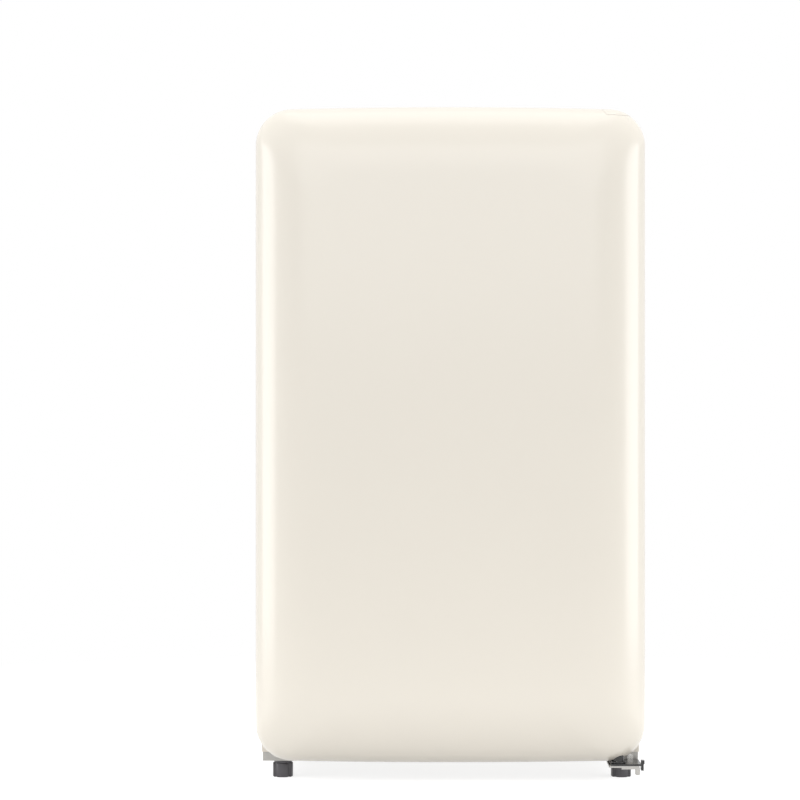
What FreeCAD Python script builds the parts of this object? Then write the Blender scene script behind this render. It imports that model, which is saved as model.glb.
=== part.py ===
import FreeCAD, Part
import math
import os
from types import SimpleNamespace

import Sketcher

# A single-door mini fridge, in millimetres. +X is to the right of someone facing the
# door, +Y points to the back and +Z up. The origin is on the floor, under the middle of
# the whole fridge.

SIZES = {
    # Cabinet: a steel shell, a plastic liner and foam between them.
    "cabinet_width": 470,
    "cabinet_depth": 400,
    "cabinet_height": 789,
    "cabinet_corner": 45,
    "steel_sheet": 0.8,
    "liner_sheet": 1.5,
    "foam_gap": 0.2,
    "side_wall": 43,
    "top_wall": 42,
    "floor_wall": 42,
    "back_wall": 50,
    "shell_flange": 28,
    "liner_flange": 14,
    "liner_corner": 14,
    "rib_depth": 8,
    "rib_height": 6,
    "rib_front": 10,
    "rear_space": 24,
    "reach_past": 1,
    # Compressor bay under the liner's hump.
    "bay_depth": 156,
    "bay_height": 190,
    "bay_side": 18,
    "bay_wall": 36,
    # Base.
    "foot_height": 21.5,
    "base_height": 11.5,
    "base_inset": 1,
    "base_setback": 2,
    "base_rail": 26,
    "base_sheet": 1.5,
    "rail_bar": 17,
    "bar_inset": 8,
    "bar_height": 14,
    "bar_gap": 1,
    # Feet.
    "foot_radius": 13,
    "foot_body": 18,
    "foot_lobes": 4,
    "foot_groove": 1.6,
    "foot_neck": 11,
    "foot_stud": 4,
    "foot_round": 1.5,
    "foot_collar": 3,
    "stud_length": 27,
    "stud_hole_gap": 2,
    "stud_boss": 4,
    "stud_room": 8.5,
    "foot_setback": 19,
    "left_foot_inset": 25,
    "right_foot_inset": 21,
    "rear_foot_radius": 12,
    "rear_foot_side": 30,
    "rear_foot_inset": 21,
    "rear_stud_gap": 1,
    # Door.
    "door_overhang": 5,
    "door_thickness": 66,
    "door_drop": 8.5,
    "door_rise": 10,
    "seal_gap": 10,
    "door_sheet": 1,
    "pillow_depth": 42,
    "pillow_run": 85,
    "pillow_steps": 8,
    "door_rear_round": 16,
    "door_corner_top": 45,
    "door_corner_bottom": 46,
    "crown_top": 4,
    "crown_bottom": 2.5,
    "door_liner_sheet": 2,
    "door_flange_margin": 18,
    "dike_margin": 68,
    "dike_depth": 54,
    "dike_width": 24,
    "dike_corner": 20,
    "recess_depth": 32,
    "gasket_side": 25.5,
    "gasket_width": 14,
    "gasket_wall": 2,
    "gasket_corner": 25,
    "gasket_bottom": 17.5,
    "gasket_top": 18.5,
    "magnet_depth": 3,
    "running_gap": 0.3,
    "rack_depth": 96,
    "rack_wall": 2.5,
    "rack_corner": 6,
    "rack_top_height": 70,
    "rack_top_drop": 222,
    "rack_middle_height": 62,
    "rack_middle_rise": 213.5,
    "bottle_rack_height": 84,
    "rack_boss": 8,
    "boss_setback": 12,
    "grip_width": 27,
    "grip_depth": 19,
    "grip_height": 180,
    "grip_rise": 435.5,
    "grip_wall": 2,
    "grip_inset": 0.3,
    # Hinges.
    "hinge_inset": 28,
    "hinge_setback": 30,
    "pin_radius": 4,
    "pin_running_fit": 0.05,
    "bushing_wall": 3,
    "bushing_length": 23,
    "top_arm_width": 9,
    "arm_flat": 0.1,
    "arm_gap": 1,
    "top_plate_sheet": 1.6,
    "top_plate_reach": 57,
    "top_plate_setback": 4,
    "top_plate_corner": 4,
    "top_plate_depth": 50,
    "top_pin_length": 22,
    "cap_radius": 19.7,
    "cap_gap": 0.6,
    "cap_height": 1.6,
    "cap_seat_gap": 0.1,
    "cover_margin": 4,
    "cover_corner": 4,
    "cover_wall": 1.2,
    "cover_height": 8,
    "hinge_screw": 1.9,
    "hinge_screw_head": 4,
    "hinge_screw_length": 8,
    "hinge_screw_room": 2,
    "hinge_screw_side": 10,
    "hinge_screw_edge": 12,
    "hinge_screw_spread": 23,
    "top_head_height": 2.4,
    "lower_head_height": 2.2,
    "lower_screw_left": 7,
    "lower_screw_right": 8,
    "lower_screw_drop": 0.4,
    "bracket_sheet": 2.5,
    "bracket_left": 12,
    "bracket_right": 25,
    "bracket_reach": 50,
    "bracket_corner": 5,
    "bracket_flange": 4.4,
    "bracket_flange_left": 15,
    "bracket_flange_sheet": 2,
    "tab_overhang": 0.6,
    "tab_corner": 2,
    "tab_width": 6,
    "tab_height": 7.1,
    "glide_sheet": 2.3,
    "glide_overhang": 2,
    "glide_side": 2,
    "glide_setback": 4,
    "glide_lip": 3,
    "glide_lip_depth": 14,
    "glide_curl": 8,
    "lug_proud": 1,
    "lug_depth": 10,
    "lug_height": 4.5,
    "lower_pin_length": 28.5,
    "washer_radius": 9,
    "washer_height": 2.6,
    "washer_gap": 0.8,
    # Ice box and chill tray.
    "ice_side_gap": 16,
    "ice_height": 108,
    "ice_drop": 12,
    "ice_front": 84,
    "ice_back_gap": 11,
    "ice_sheet": 1.5,
    "ice_corner": 10,
    "channel_count": 6,
    "channel_front": 22,
    "channel_back": 25,
    "channel_side": 24,
    "channel_width": 8,
    "channel_rise": 2,
    "hanger_radius": 9,
    "hanger_inset": 30,
    "frame_depth": 4,
    "frame_width": 7,
    "frame_lip": 3,
    "ear_half": 4,
    "flap_sheet": 8,
    "flap_gap": 1,
    "flap_side_gap": 4,
    "flap_pin": 2,
    "flap_pin_reach": 2.5,
    "barrel_gap": 5,
    "flap_border": 12,
    "flap_hinge_border": 20,
    "flap_panel_corner": 6,
    "flap_panel_depth": 2,
    "flap_grip_width": 4,
    "flap_grip_depth": 7,
    "flap_grip_inset": 32,
    "tray_height": 24,
    "tray_front": 70,
    "tray_back_gap": 26,
    "tray_wall": 2,
    "tray_corner": 8,
    "tray_side_gap": 28,
    "runner_setback": 34,
    "runner_sheet": 3,
    "tray_drop": 8,
    # Shelves and crisper.
    "shelf_glass": 4,
    "shelf_side_gap": 4.5,
    "shelf_front": 74,
    "shelf_back_gap": 8,
    "trim_height": 12,
    "trim_depth": 10,
    "trim_rise": 1,
    "shelf_control_gap": 45,
    "shelf_spacing": 115,
    "crisper_side_gap": 28,
    "crisper_height": 160,
    "crisper_front": 66,
    "crisper_back_gap": 6,
    "crisper_wall": 2.5,
    "crisper_corner": 12,
    "crisper_lip": 5,
    "crisper_lip_half": 60,
    "crisper_lip_height": 12,
    "guide_gap": 1,
    "guide_setback": 10,
    "guide_width": 4,
    "guide_height": 8,
    # Thermostat box on the right wall.
    "control_width": 42,
    "control_front": 62,
    "control_depth": 142,
    "control_drop": 83,
    "control_height": 70,
    "control_wall": 2,
    "control_corner": 8,
    "thermostat_setback": 8,
    "thermostat_depth": 36,
    "thermostat_height": 40,
    "knob_radius": 17,
    "knob_height": 12,
    "knob_face": 3,
    "knob_rib_half": 3,
    "knob_rib_gap": 2,
    "knob_rib_height": 5,
    "knob_setback": 62,
    "knob_shaft": 3,
    "shaft_gap": 1,
    "shaft_reach": 8,
    "lamp_length": 36,
    "lamp_height": 40,
    "lamp_setback": 116,
    "lens_lap": 3,
    "lens_corner": 4,
    "lens_height": 2.5,
    "board_sheet": 1.6,
    "led_half": 2.5,
    "led_pitch": 10,
    "led_gap": 0.4,
    "switch_half": 8,
    "switch_depth": 26,
    "switch_bore": 22,
    "plunger_gap": 0.1,
    "plunger_radius": 4,
    "plunger_inset": 24,
    "plunger_rise": 50,
    "plunger_length": 30,
    # Refrigeration.
    "compressor_x": 60,
    "compressor_radius": 66,
    "compressor_height": 122,
    "compressor_dome": 34,
    "compressor_foot_round": 14,
    "belt_level": 54.9,
    "belt_rise": 3,
    "belt_height": 6,
    "plate_sheet": 2,
    "plate_gap": 1,
    "plate_lip": 27,
    "grommet_height": 12,
    "grommet_radius": 9,
    "leg_sheet": 3,
    "leg_x": 66,
    "leg_y": 42,
    "leg_margin": 12,
    "leg_corner": 10,
    "bolt_radius": 4,
    "bolt_head": 2,
    "bolt_head_margin": 3,
    "bolt_tip": 3,
    "nut_height": 4,
    "terminal_width": 30,
    "terminal_depth": 46,
    "terminal_height": 44,
    "terminal_rise": 30,
    "terminal_sink": 6,
    "drip_width": 140,
    "drip_depth": 112,
    "drip_height": 24,
    "drip_wall": 1.5,
    "drip_corner": 10,
    "drain_radius": 4.5,
    "drain_wall": 1.2,
    "drain_flange": 3.5,
    "suction_radius": 3,
    "suction_x": -40,
    "suction_inset": 26,
    "suction_start": 40,
    "discharge_rise": 70,
    "capillary_radius": 1,
    "capillary_bend": 4,
    "capillary_drop": 14,
    "slot_half": 9,
    "drier_radius": 8,
    "drier_length": 90,
    "drier_neck": 3,
    "drier_neck_length": 8,
    "drier_shoulder": 3,
    "drier_side": 85,
    "drier_inset": 36,
    "drier_rise": 10,
    "pipe_gap": 0.1,
    "pipe_bend": 14,
    "elbow_drop": 36,
    "condenser_tube": 2.4,
    "condenser_runs": 12,
    "condenser_side": 45,
    "condenser_rise": 47,
    "condenser_drop": 46,
    "condenser_stand": 9,
    "condenser_straight": 0.02,
    "riser_side": 30,
    "riser_drop": 12,
    "wire_radius": 0.8,
    "wire_inset": 8,
    "wire_count": 27,
    "wire_overhang": 8,
    "bracket_run": 11.5,
    "bracket_width": 10,
    "bracket_height": 16,
    "gland_side": 75,
    "gland_rise": 14,
    "gland_bore": 4,
    "gland_wall": 4,
    "gland_head": 3,
}

doc = FreeCAD.newDocument("mini_fridge")
sheet = doc.addObject("Spreadsheet::Sheet", "Sizes")
for row, (name, value) in enumerate(SIZES.items(), start=1):
    sheet.set(f"A{row}", name)
    sheet.set(f"B{row}", str(value))
    sheet.setAlias(f"B{row}", name)
doc.recompute()


class Size:
    """A length with the spreadsheet expression that gives it."""

    def __init__(self, value, text):
        self.value = float(value)
        self.text = text

    def __add__(self, other):
        other = as_size(other)
        return Size(self.value + other.value, f"({self.text} + {other.text})")

    def __sub__(self, other):
        other = as_size(other)
        return Size(self.value - other.value, f"({self.text} - {other.text})")

    def __mul__(self, other):
        other = as_size(other)
        return Size(self.value * other.value, f"({self.text} * {other.text})")

    def __truediv__(self, other):
        other = as_size(other)
        return Size(self.value / other.value, f"({self.text} / {other.text})")

    def __neg__(self):
        return Size(-self.value, f"(0 - {self.text})")

    def __radd__(self, other):
        return as_size(other) + self

    def __rsub__(self, other):
        return as_size(other) - self

    def __rmul__(self, other):
        return as_size(other) * self


def as_size(value):
    """A plain number as a Size, and a Size as it is."""
    if isinstance(value, Size):
        return value
    return Size(value, f"({value})")


s = SimpleNamespace(**{name: Size(sheet.get(name), f"Sizes.{name}") for name in SIZES})
pieces = {}


# Helpers: outlines, bodies, primitives and pipes.


def piece(item, name):
    """Names a finished sub-part, which is written to a file of that name."""
    item.Label = name
    pieces[name] = item
    return item


def bind(item, sizes):
    """Binds properties of an object to the spreadsheet."""
    for path, size in sizes.items():
        item.setExpression(path, as_size(size).text)
    return item


def rect(u0, u1, v0, v1, radius=None):
    """A rectangle as a loop of corners, rounded where a radius is given."""
    corners = [(u0, v0), (u1, v0), (u1, v1), (u0, v1)]
    return [(u, v, radius) for u, v in corners]


def disc(u, v, radius):
    """A circle as a loop."""
    return {"u": as_size(u), "v": as_size(v), "radius": as_size(radius)}


def fix_point(sketch, geometry, end, u, v):
    """Binds one point of a sketch to the spreadsheet, from the sketch's origin."""
    for kind, size in (("DistanceX", u), ("DistanceY", v)):
        index = sketch.addConstraint(Sketcher.Constraint(kind, -1, 1, geometry, end, size.value))
        sketch.setExpression(f"Constraints[{index}]", size.text)


def draw_disc(sketch, loop):
    """Draws a circle whose centre and radius are bound."""
    centre = FreeCAD.Vector(loop["u"].value, loop["v"].value, 0)
    circle = Part.Circle(centre, FreeCAD.Vector(0, 0, 1), loop["radius"].value)
    index = sketch.addGeometry(circle, False)
    fix_point(sketch, index, 3, loop["u"], loop["v"])
    radius = sketch.addConstraint(Sketcher.Constraint("Radius", index, loop["radius"].value))
    sketch.setExpression(f"Constraints[{radius}]", loop["radius"].text)


def step_towards(corner, other, radius):
    """The point at a distance from a corner along the level or upright line to another."""
    du = other[0].value - corner[0].value
    dv = other[1].value - corner[1].value
    if abs(du) > abs(dv):
        return (corner[0] + radius if du > 0 else corner[0] - radius), corner[1]
    return corner[0], (corner[1] + radius if dv > 0 else corner[1] - radius)


def draw_corners(sketch, loop):
    """Draws a closed loop of lines with a tangent arc at each corner that has a radius."""
    corners = [(as_size(c[0]), as_size(c[1]), c[2] if len(c) > 2 else None) for c in loop]
    stops = []
    for i, (u, v, radius) in enumerate(corners):
        if radius is None:
            stops.append(((u, v), (u, v), None))
            continue
        radius = as_size(radius)
        before = step_towards((u, v), corners[i - 1], radius)
        after = step_towards((u, v), corners[(i + 1) % len(corners)], radius)
        centre = (before[0] + after[0] - u, before[1] + after[1] - v)
        stops.append((before, after, centre))
    lines = []
    for i, (_, start, _) in enumerate(stops):
        end = stops[(i + 1) % len(stops)][0]
        first = FreeCAD.Vector(start[0].value, start[1].value, 0)
        last = FreeCAD.Vector(end[0].value, end[1].value, 0)
        lines.append(sketch.addGeometry(Part.LineSegment(first, last), False))
    for i, (before, after, centre) in enumerate(stops):
        incoming = lines[i - 1]
        outgoing = lines[i]
        fix_point(sketch, outgoing, 1, *after)
        if centre is None:
            sketch.addConstraint(Sketcher.Constraint("Coincident", incoming, 2, outgoing, 1))
            continue
        fix_point(sketch, incoming, 2, *before)
        draw_corner_arc(sketch, before, after, centre, incoming, outgoing)


def draw_corner_arc(sketch, before, after, centre, incoming, outgoing):
    """Draws the arc that rounds one corner, joined to the lines on both sides."""
    a = FreeCAD.Vector(before[0].value, before[1].value, 0)
    b = FreeCAD.Vector(after[0].value, after[1].value, 0)
    c = FreeCAD.Vector(centre[0].value, centre[1].value, 0)
    middle = c + ((a + b) * 0.5 - c).normalize() * (a - c).Length
    index = sketch.addGeometry(Part.Arc(a, middle, b), False)
    turns_left = (a - c).cross(b - c).z > 0
    start, end = (1, 2) if turns_left else (2, 1)
    sketch.addConstraint(Sketcher.Constraint("Coincident", index, start, incoming, 2))
    sketch.addConstraint(Sketcher.Constraint("Coincident", index, end, outgoing, 1))
    fixed = sketch.addConstraint(
        Sketcher.Constraint("DistanceX", -1, 1, index, 3, centre[0].value)
    )
    sketch.setExpression(f"Constraints[{fixed}]", centre[0].text)


def sketch_on(body, plane, loops, offset):
    """A sketch of closed loops on one of a body's origin planes, moved along its normal."""
    sketch = body.newObject("Sketcher::SketchObject", "outline")
    support = [f for f in body.Origin.OriginFeatures if f.Role == plane + "_Plane"][0]
    sketch.AttachmentSupport = [(support, "")]
    sketch.MapMode = "FlatFace"
    sketch.setExpression("AttachmentOffset.Base.z", as_size(offset).text)
    for loop in loops:
        if isinstance(loop, dict):
            draw_disc(sketch, loop)
        else:
            draw_corners(sketch, loop)
    return sketch


def new_body(name):
    """A PartDesign body that is one sub-part."""
    return piece(doc.addObject("PartDesign::Body", name), name)


def pad(body, plane, loops, low, high):
    """Adds a prism on the loops, from low to high along the plane's axis."""
    low, high = as_size(low), as_size(high)
    offset = -high if plane == "XZ" else low
    feature = body.newObject("PartDesign::Pad", "prism")
    feature.Profile = sketch_on(body, plane, loops, offset)
    feature.setExpression("Length", (high - low).text)
    doc.recompute()
    return feature


def pocket(body, plane, loops, low, high):
    """Cuts a prism on the loops, from low to high along the plane's axis."""
    low, high = as_size(low), as_size(high)
    offset = -low if plane == "XZ" else high
    before = body.Shape.Volume
    feature = body.newObject("PartDesign::Pocket", "opening")
    feature.Profile = sketch_on(body, plane, loops, offset)
    feature.setExpression("Length", (high - low).text)
    doc.recompute()
    if body.Shape.Volume >= before:
        raise RuntimeError(f"a cut in {body.Label} removes nothing")
    return feature


def revolve(body, loop):
    """Adds a solid of revolution about the body's own Z axis."""
    sketch = sketch_on(body, "XZ", [loop], 0)
    feature = body.newObject("PartDesign::Revolution", "turned")
    feature.Profile = sketch
    feature.ReferenceAxis = (sketch, ["V_Axis"])
    feature.Angle = 360
    doc.recompute()
    return feature


def place(item, x, y, z):
    """Binds an object's position."""
    return bind(item, {"Placement.Base.x": x, "Placement.Base.y": y, "Placement.Base.z": z})


def box(x0, x1, y0, y1, z0, z1):
    """A box between two corners."""
    item = doc.addObject("Part::Box", "block")
    x0, y0, z0 = as_size(x0), as_size(y0), as_size(z0)
    bind(item, {"Length": x1 - x0, "Width": y1 - y0, "Height": z1 - z0})
    return place(item, x0, y0, z0)


def rod(axis, radius, low, high, u, v):
    """A cylinder along X, Y or Z, from low to high, at the other two coordinates."""
    item = doc.addObject("Part::Cylinder", "rod")
    low = as_size(low)
    bind(item, {"Radius": radius, "Height": high - low})
    turns = {"X": (0, 1, 0, 90), "Y": (1, 0, 0, -90), "Z": (0, 0, 1, 0)}
    x, y, z, angle = turns[axis]
    item.Placement.Rotation = FreeCAD.Rotation(FreeCAD.Vector(x, y, z), angle)
    spots = {"X": (low, u, v), "Y": (u, low, v), "Z": (u, v, low)}
    return place(item, *spots[axis])


def fuse(items):
    """Joins objects, or groups them where they don't touch."""
    if len(items) == 1:
        return items[0]
    item = doc.addObject("Part::MultiFuse", "joined")
    item.Shapes = items
    return item


def cut(base, tools):
    """Cuts objects out of another."""
    item = doc.addObject("Part::Cut", "trimmed")
    item.Base = base
    item.Tool = fuse(tools)
    return item


def feature(shape, name=None):
    """An object whose shape is worked out here from the sizes."""
    item = doc.addObject("Part::Feature", "shaped")
    item.Shape = shape
    item.Placement = FreeCAD.Placement()
    return piece(item, name) if name else item


def vector(x, y, z):
    """A point from sizes or numbers."""
    return FreeCAD.Vector(as_size(x).value, as_size(y).value, as_size(z).value)


def pipe_edges(points, bend):
    """Straight runs joined by tangent arcs, none of which takes all of half a run."""
    edges = []
    start = points[0]
    for before, corner, after in zip(points, points[1:], points[2:]):
        to_before = (before - corner).normalize()
        to_after = (after - corner).normalize()
        half = to_before.getAngle(to_after) / 2
        shorter = min((before - corner).Length, (after - corner).Length)
        reach = min(bend / math.tan(half), shorter / 2.01)
        first = corner + to_before * reach
        last = corner + to_after * reach
        bisector = (to_before + to_after).normalize()
        radius = reach * math.tan(half)
        centre = corner + bisector * (radius / math.sin(half))
        middle = centre - bisector * radius
        if (first - start).Length > 1e-6:
            edges.append(Part.LineSegment(start, first).toShape())
        edges.append(Part.Arc(first, middle, last).toShape())
        start = last
    edges.append(Part.LineSegment(start, points[-1]).toShape())
    return edges


def pipe(points, radius, bend):
    """A round pipe through the points."""
    path = Part.Wire(pipe_edges(points, as_size(bend).value))
    heading = (points[1] - points[0]).normalize()
    ring = Part.Wire([Part.makeCircle(as_size(radius).value, points[0], heading)])
    return path.makePipeShell([ring], True, False)


# Places that several sub-parts share.

half_width = s.cabinet_width / 2
total_depth = s.door_thickness + s.seal_gap + s.cabinet_depth + s.rear_space
front_y = -total_depth / 2
door_back_y = front_y + s.door_thickness
cabinet_front_y = door_back_y + s.seal_gap
cabinet_back_y = cabinet_front_y + s.cabinet_depth
rear_y = cabinet_back_y + s.rear_space
cabinet_bottom = s.foot_height + s.base_height
cabinet_top = cabinet_bottom + s.cabinet_height
inner_x = half_width - s.side_wall
inner_bottom = cabinet_bottom + s.floor_wall
inner_top = cabinet_top - s.top_wall
inner_back_y = cabinet_back_y - s.back_wall
bay_front_y = cabinet_back_y - s.bay_depth
bay_top = cabinet_bottom + s.bay_height
bay_x = half_width - s.bay_side
hump_top = bay_top + s.bay_wall
hump_front_y = bay_front_y - s.bay_wall
cover_shelf_z = hump_top + s.rib_height
sheet_in = s.steel_sheet + s.foam_gap
liner_out = s.liner_sheet + s.foam_gap
ice_top = inner_top - s.ice_drop
ice_bottom = ice_top - s.ice_height
tray_bottom = ice_bottom - s.tray_drop - s.tray_height
control_bottom = tray_bottom - s.control_drop
upper_shelf_z = control_bottom - s.shelf_control_gap
lower_shelf_z = upper_shelf_z - s.shelf_spacing
foot_y = cabinet_front_y + s.foot_setback
left_foot_x = s.left_foot_inset - half_width
right_foot_x = half_width - s.right_foot_inset
rear_foot_x = half_width - s.rear_foot_side
rear_foot_y = cabinet_back_y - s.rear_foot_inset
hinge_x = half_width - s.hinge_inset
hinge_y = door_back_y - s.hinge_setback
compressor_y = cabinet_back_y - s.bay_depth / 2
suction_y = cabinet_back_y - s.suction_inset
suction_z = ice_top - s.ice_height / 2
pipe_pair_x = s.suction_x - s.capillary_radius
slot_front_y = suction_y - s.slot_half
slot_back_y = suction_y + s.slot_half
front_feet = [(left_foot_x, foot_y), (right_foot_x, foot_y)]
rear_feet = [(-rear_foot_x, rear_foot_y), (rear_foot_x, rear_foot_y)]
arm_half = s.top_arm_width / 2
top_plate_x = hinge_x - s.top_plate_reach
top_plate_front = cabinet_front_y + s.top_plate_setback
top_plate_back = top_plate_front + s.top_plate_depth
top_plate_z = cabinet_top + s.top_plate_sheet
screw_column_x = top_plate_x + s.hinge_screw_side
screw_row_y = top_plate_back - s.hinge_screw_edge
hinge_screw_spots = [
    (screw_column_x, top_plate_front + s.hinge_screw_edge),
    (screw_column_x, screw_row_y),
    (screw_column_x + s.hinge_screw_spread, screw_row_y),
]


def cabinet_outline(inset, bottom):
    """The cabinet seen from the front: square below and round at its top corners."""
    side = half_width - inset
    top = cabinet_top - inset
    radius = s.cabinet_corner - inset
    return [(-side, bottom), (side, bottom), (side, top, radius), (-side, top, radius)]


def both_sides(u0, u1, v0, v1):
    """A rectangle on the right and its mirror image on the left."""
    return [rect(u0, u1, v0, v1), rect(-u1, -u0, v0, v1)]


# Cabinet.


def build_outer_shell():
    """The painted steel wrapper: two sides, the top and the front flange."""
    body = new_body("outer_shell")
    front, back = cabinet_front_y, cabinet_back_y
    under = cabinet_bottom - s.steel_sheet
    pad(body, "XZ", [cabinet_outline(0, cabinet_bottom)], front, back)
    pocket(body, "XZ", [cabinet_outline(s.steel_sheet, under)], front + s.steel_sheet, back)
    window = half_width - s.shell_flange
    top = cabinet_top - s.shell_flange
    pocket(body, "XZ", [rect(-window, window, under, top)], front, front + s.steel_sheet)
    holes = [disc(x, y, s.hinge_screw + s.foam_gap) for x, y in hinge_screw_spots]
    pocket(body, "XY", holes, cabinet_top - s.steel_sheet, cabinet_top)


def build_back_panel():
    """The painted rear sheet above the compressor bay."""
    body = new_body("back_panel")
    outline = cabinet_outline(sheet_in, bay_top)
    pad(body, "XZ", [outline], cabinet_back_y - s.steel_sheet, cabinet_back_y)


def build_bottom_panel():
    """The galvanised sheet under the foam, in front of the compressor bay."""
    body = new_body("bottom_panel")
    side = half_width - sheet_in
    front = cabinet_front_y + sheet_in
    outline = rect(-side, side, front, bay_front_y - s.foam_gap)
    pad(body, "XY", [outline], cabinet_bottom, cabinet_bottom + s.steel_sheet)
    holes = [disc(x, y, s.foot_stud + s.stud_hole_gap) for x, y in front_feet]
    pocket(body, "XY", holes, cabinet_bottom, cabinet_bottom + s.steel_sheet)


rail_top = inner_bottom - s.liner_flange - s.foam_gap
rail_x = half_width - s.shell_flange - s.foam_gap
rail_back_y = cabinet_front_y + s.rail_bar


def build_front_cross_rail():
    """The rail that ties the two sides together below the door opening."""
    body = new_body("front_cross_rail")
    front = cabinet_front_y
    pad(body, "XZ", [rect(-rail_x, rail_x, cabinet_bottom, rail_top)],
        front, front + s.steel_sheet)
    side = rail_x - s.bar_inset
    bar = rect(-side, side, cabinet_bottom + sheet_in, cabinet_bottom + s.bar_height)
    pad(body, "XZ", [bar], front + s.steel_sheet, rail_back_y)


def build_bay_panel():
    """The galvanised hood that lines the compressor bay."""
    body = new_body("bay_panel")
    pad(body, "XZ", [rect(-bay_x, bay_x, cabinet_bottom, bay_top)],
        bay_front_y, cabinet_back_y - sheet_in)
    inside_x = bay_x - s.steel_sheet
    inside = rect(-inside_x, inside_x, cabinet_bottom - s.reach_past,
                  bay_top - s.steel_sheet)
    pocket(body, "XZ", [inside], bay_front_y + s.steel_sheet, cabinet_back_y)
    pad(body, "XZ", both_sides(inside_x, bay_x, cabinet_bottom, bay_top - s.foam_gap),
        cabinet_back_y - sheet_in, cabinet_back_y)
    flanges = both_sides(inside_x, half_width - sheet_in, cabinet_bottom,
                         bay_top - s.foam_gap)
    pad(body, "XZ", flanges, cabinet_back_y - s.steel_sheet, cabinet_back_y)
    slot = rect(s.suction_x - s.slot_half, s.suction_x + s.slot_half / 2,
                suction_y - s.slot_half / 2, suction_y + s.slot_half / 2)
    drain = disc(s.compressor_x, compressor_y, s.drain_radius + s.foam_gap)
    pocket(body, "XY", [slot, drain], bay_top - s.steel_sheet, bay_top)


def rib_loops():
    """The shelf ribs on both side walls, seen from the front."""
    tops = [upper_shelf_z, lower_shelf_z, cover_shelf_z, tray_bottom - s.running_gap]
    loops = []
    for top in tops:
        loops += both_sides(inner_x - s.rib_depth, inner_x + s.liner_sheet / 2,
                            top - s.rib_height, top)
    return loops


def build_inner_liner():
    """The moulded plastic liner, stepped over the compressor bay."""
    body = new_body("inner_liner")
    front = cabinet_front_y
    skin = s.liner_sheet
    side = inner_x + skin
    reach = inner_x + s.liner_flange
    round_out = s.liner_corner + skin
    flange = rect(-reach, reach, inner_bottom - s.liner_flange, inner_top + s.liner_flange)
    pad(body, "XZ", [flange], front, front + skin)
    tub = rect(-side, side, inner_bottom - skin, inner_top + skin, round_out)
    pad(body, "XZ", [tub], front, hump_front_y + skin)
    upper = rect(-side, side, hump_top - skin, inner_top + skin, round_out)
    pad(body, "XZ", [upper], hump_front_y, inner_back_y + skin)
    hollow = rect(-inner_x, inner_x, inner_bottom, inner_top, s.liner_corner)
    pocket(body, "XZ", [hollow], front, hump_front_y)
    hollow = rect(-inner_x, inner_x, hump_top, inner_top, s.liner_corner)
    pocket(body, "XZ", [hollow], hump_front_y, inner_back_y)
    pad(body, "XZ", rib_loops(), front + s.shelf_front - s.rib_front, inner_back_y - skin)
    guide = inner_x - s.crisper_side_gap + s.guide_gap
    guides = both_sides(guide, guide + s.guide_width, inner_bottom - skin / 2,
                        inner_bottom + s.guide_height)
    pad(body, "XZ", guides, front + s.crisper_front + s.guide_setback, hump_front_y)
    pipes = disc(pipe_pair_x, suction_z, s.slot_half / 2)
    pocket(body, "XZ", [pipes], inner_back_y, inner_back_y + skin)
    drain = disc(s.compressor_x, compressor_y, s.drain_radius + s.foam_gap)
    pocket(body, "XY", [drain], hump_top - skin, hump_top)


def build_cabinet_foam():
    """The foam between shell and liner, with its slot for the pipes."""
    body = new_body("cabinet_foam")
    front = cabinet_front_y + liner_out
    back = cabinet_back_y - sheet_in
    bottom = cabinet_bottom + sheet_in
    pad(body, "XZ", [cabinet_outline(sheet_in, bottom)], front, back)
    side = inner_x + liner_out
    tub = rect(-side, side, inner_bottom - liner_out, inner_top + liner_out)
    pocket(body, "XZ", [tub], front, hump_front_y + liner_out)
    upper = rect(-side, side, hump_top - liner_out, inner_top + liner_out)
    pocket(body, "XZ", [upper], hump_front_y, inner_back_y + liner_out)
    bay_side = bay_x + s.foam_gap
    bay = rect(-bay_side, bay_side, cabinet_bottom, bay_top + s.foam_gap)
    pocket(body, "XZ", [bay], bay_front_y - s.foam_gap, cabinet_back_y)
    bar_side = rail_x - s.bar_inset + s.bar_gap
    bar_top = cabinet_bottom + s.bar_height + s.bar_gap
    pocket(body, "XZ", [rect(-bar_side, bar_side, cabinet_bottom, bar_top)],
           front, rail_back_y + s.foam_gap)
    studs = [disc(x, y, s.foot_stud + s.stud_hole_gap) for x, y in front_feet]
    stud_top = s.foot_height + s.stud_length + s.stud_room
    pocket(body, "XY", studs, bottom, stud_top)
    slot = rect(slot_front_y, slot_back_y, bay_top, suction_z + s.slot_half)
    pocket(body, "YZ", [slot], s.suction_x - s.slot_half, s.suction_x + s.slot_half)
    way = disc(pipe_pair_x, suction_z, s.slot_half / 2)
    pocket(body, "XZ", [way], inner_back_y, slot_front_y)
    drain = disc(s.compressor_x, compressor_y, s.drain_radius + s.foam_gap)
    pocket(body, "XY", [drain], bay_top, hump_top)
    screws = [disc(x, y, s.hinge_screw + s.foam_gap) for x, y in hinge_screw_spots]
    screw_depth = s.hinge_screw_length + s.hinge_screw_room
    pocket(body, "XY", screws, cabinet_top - screw_depth, cabinet_top)


# Base and feet.


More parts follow.
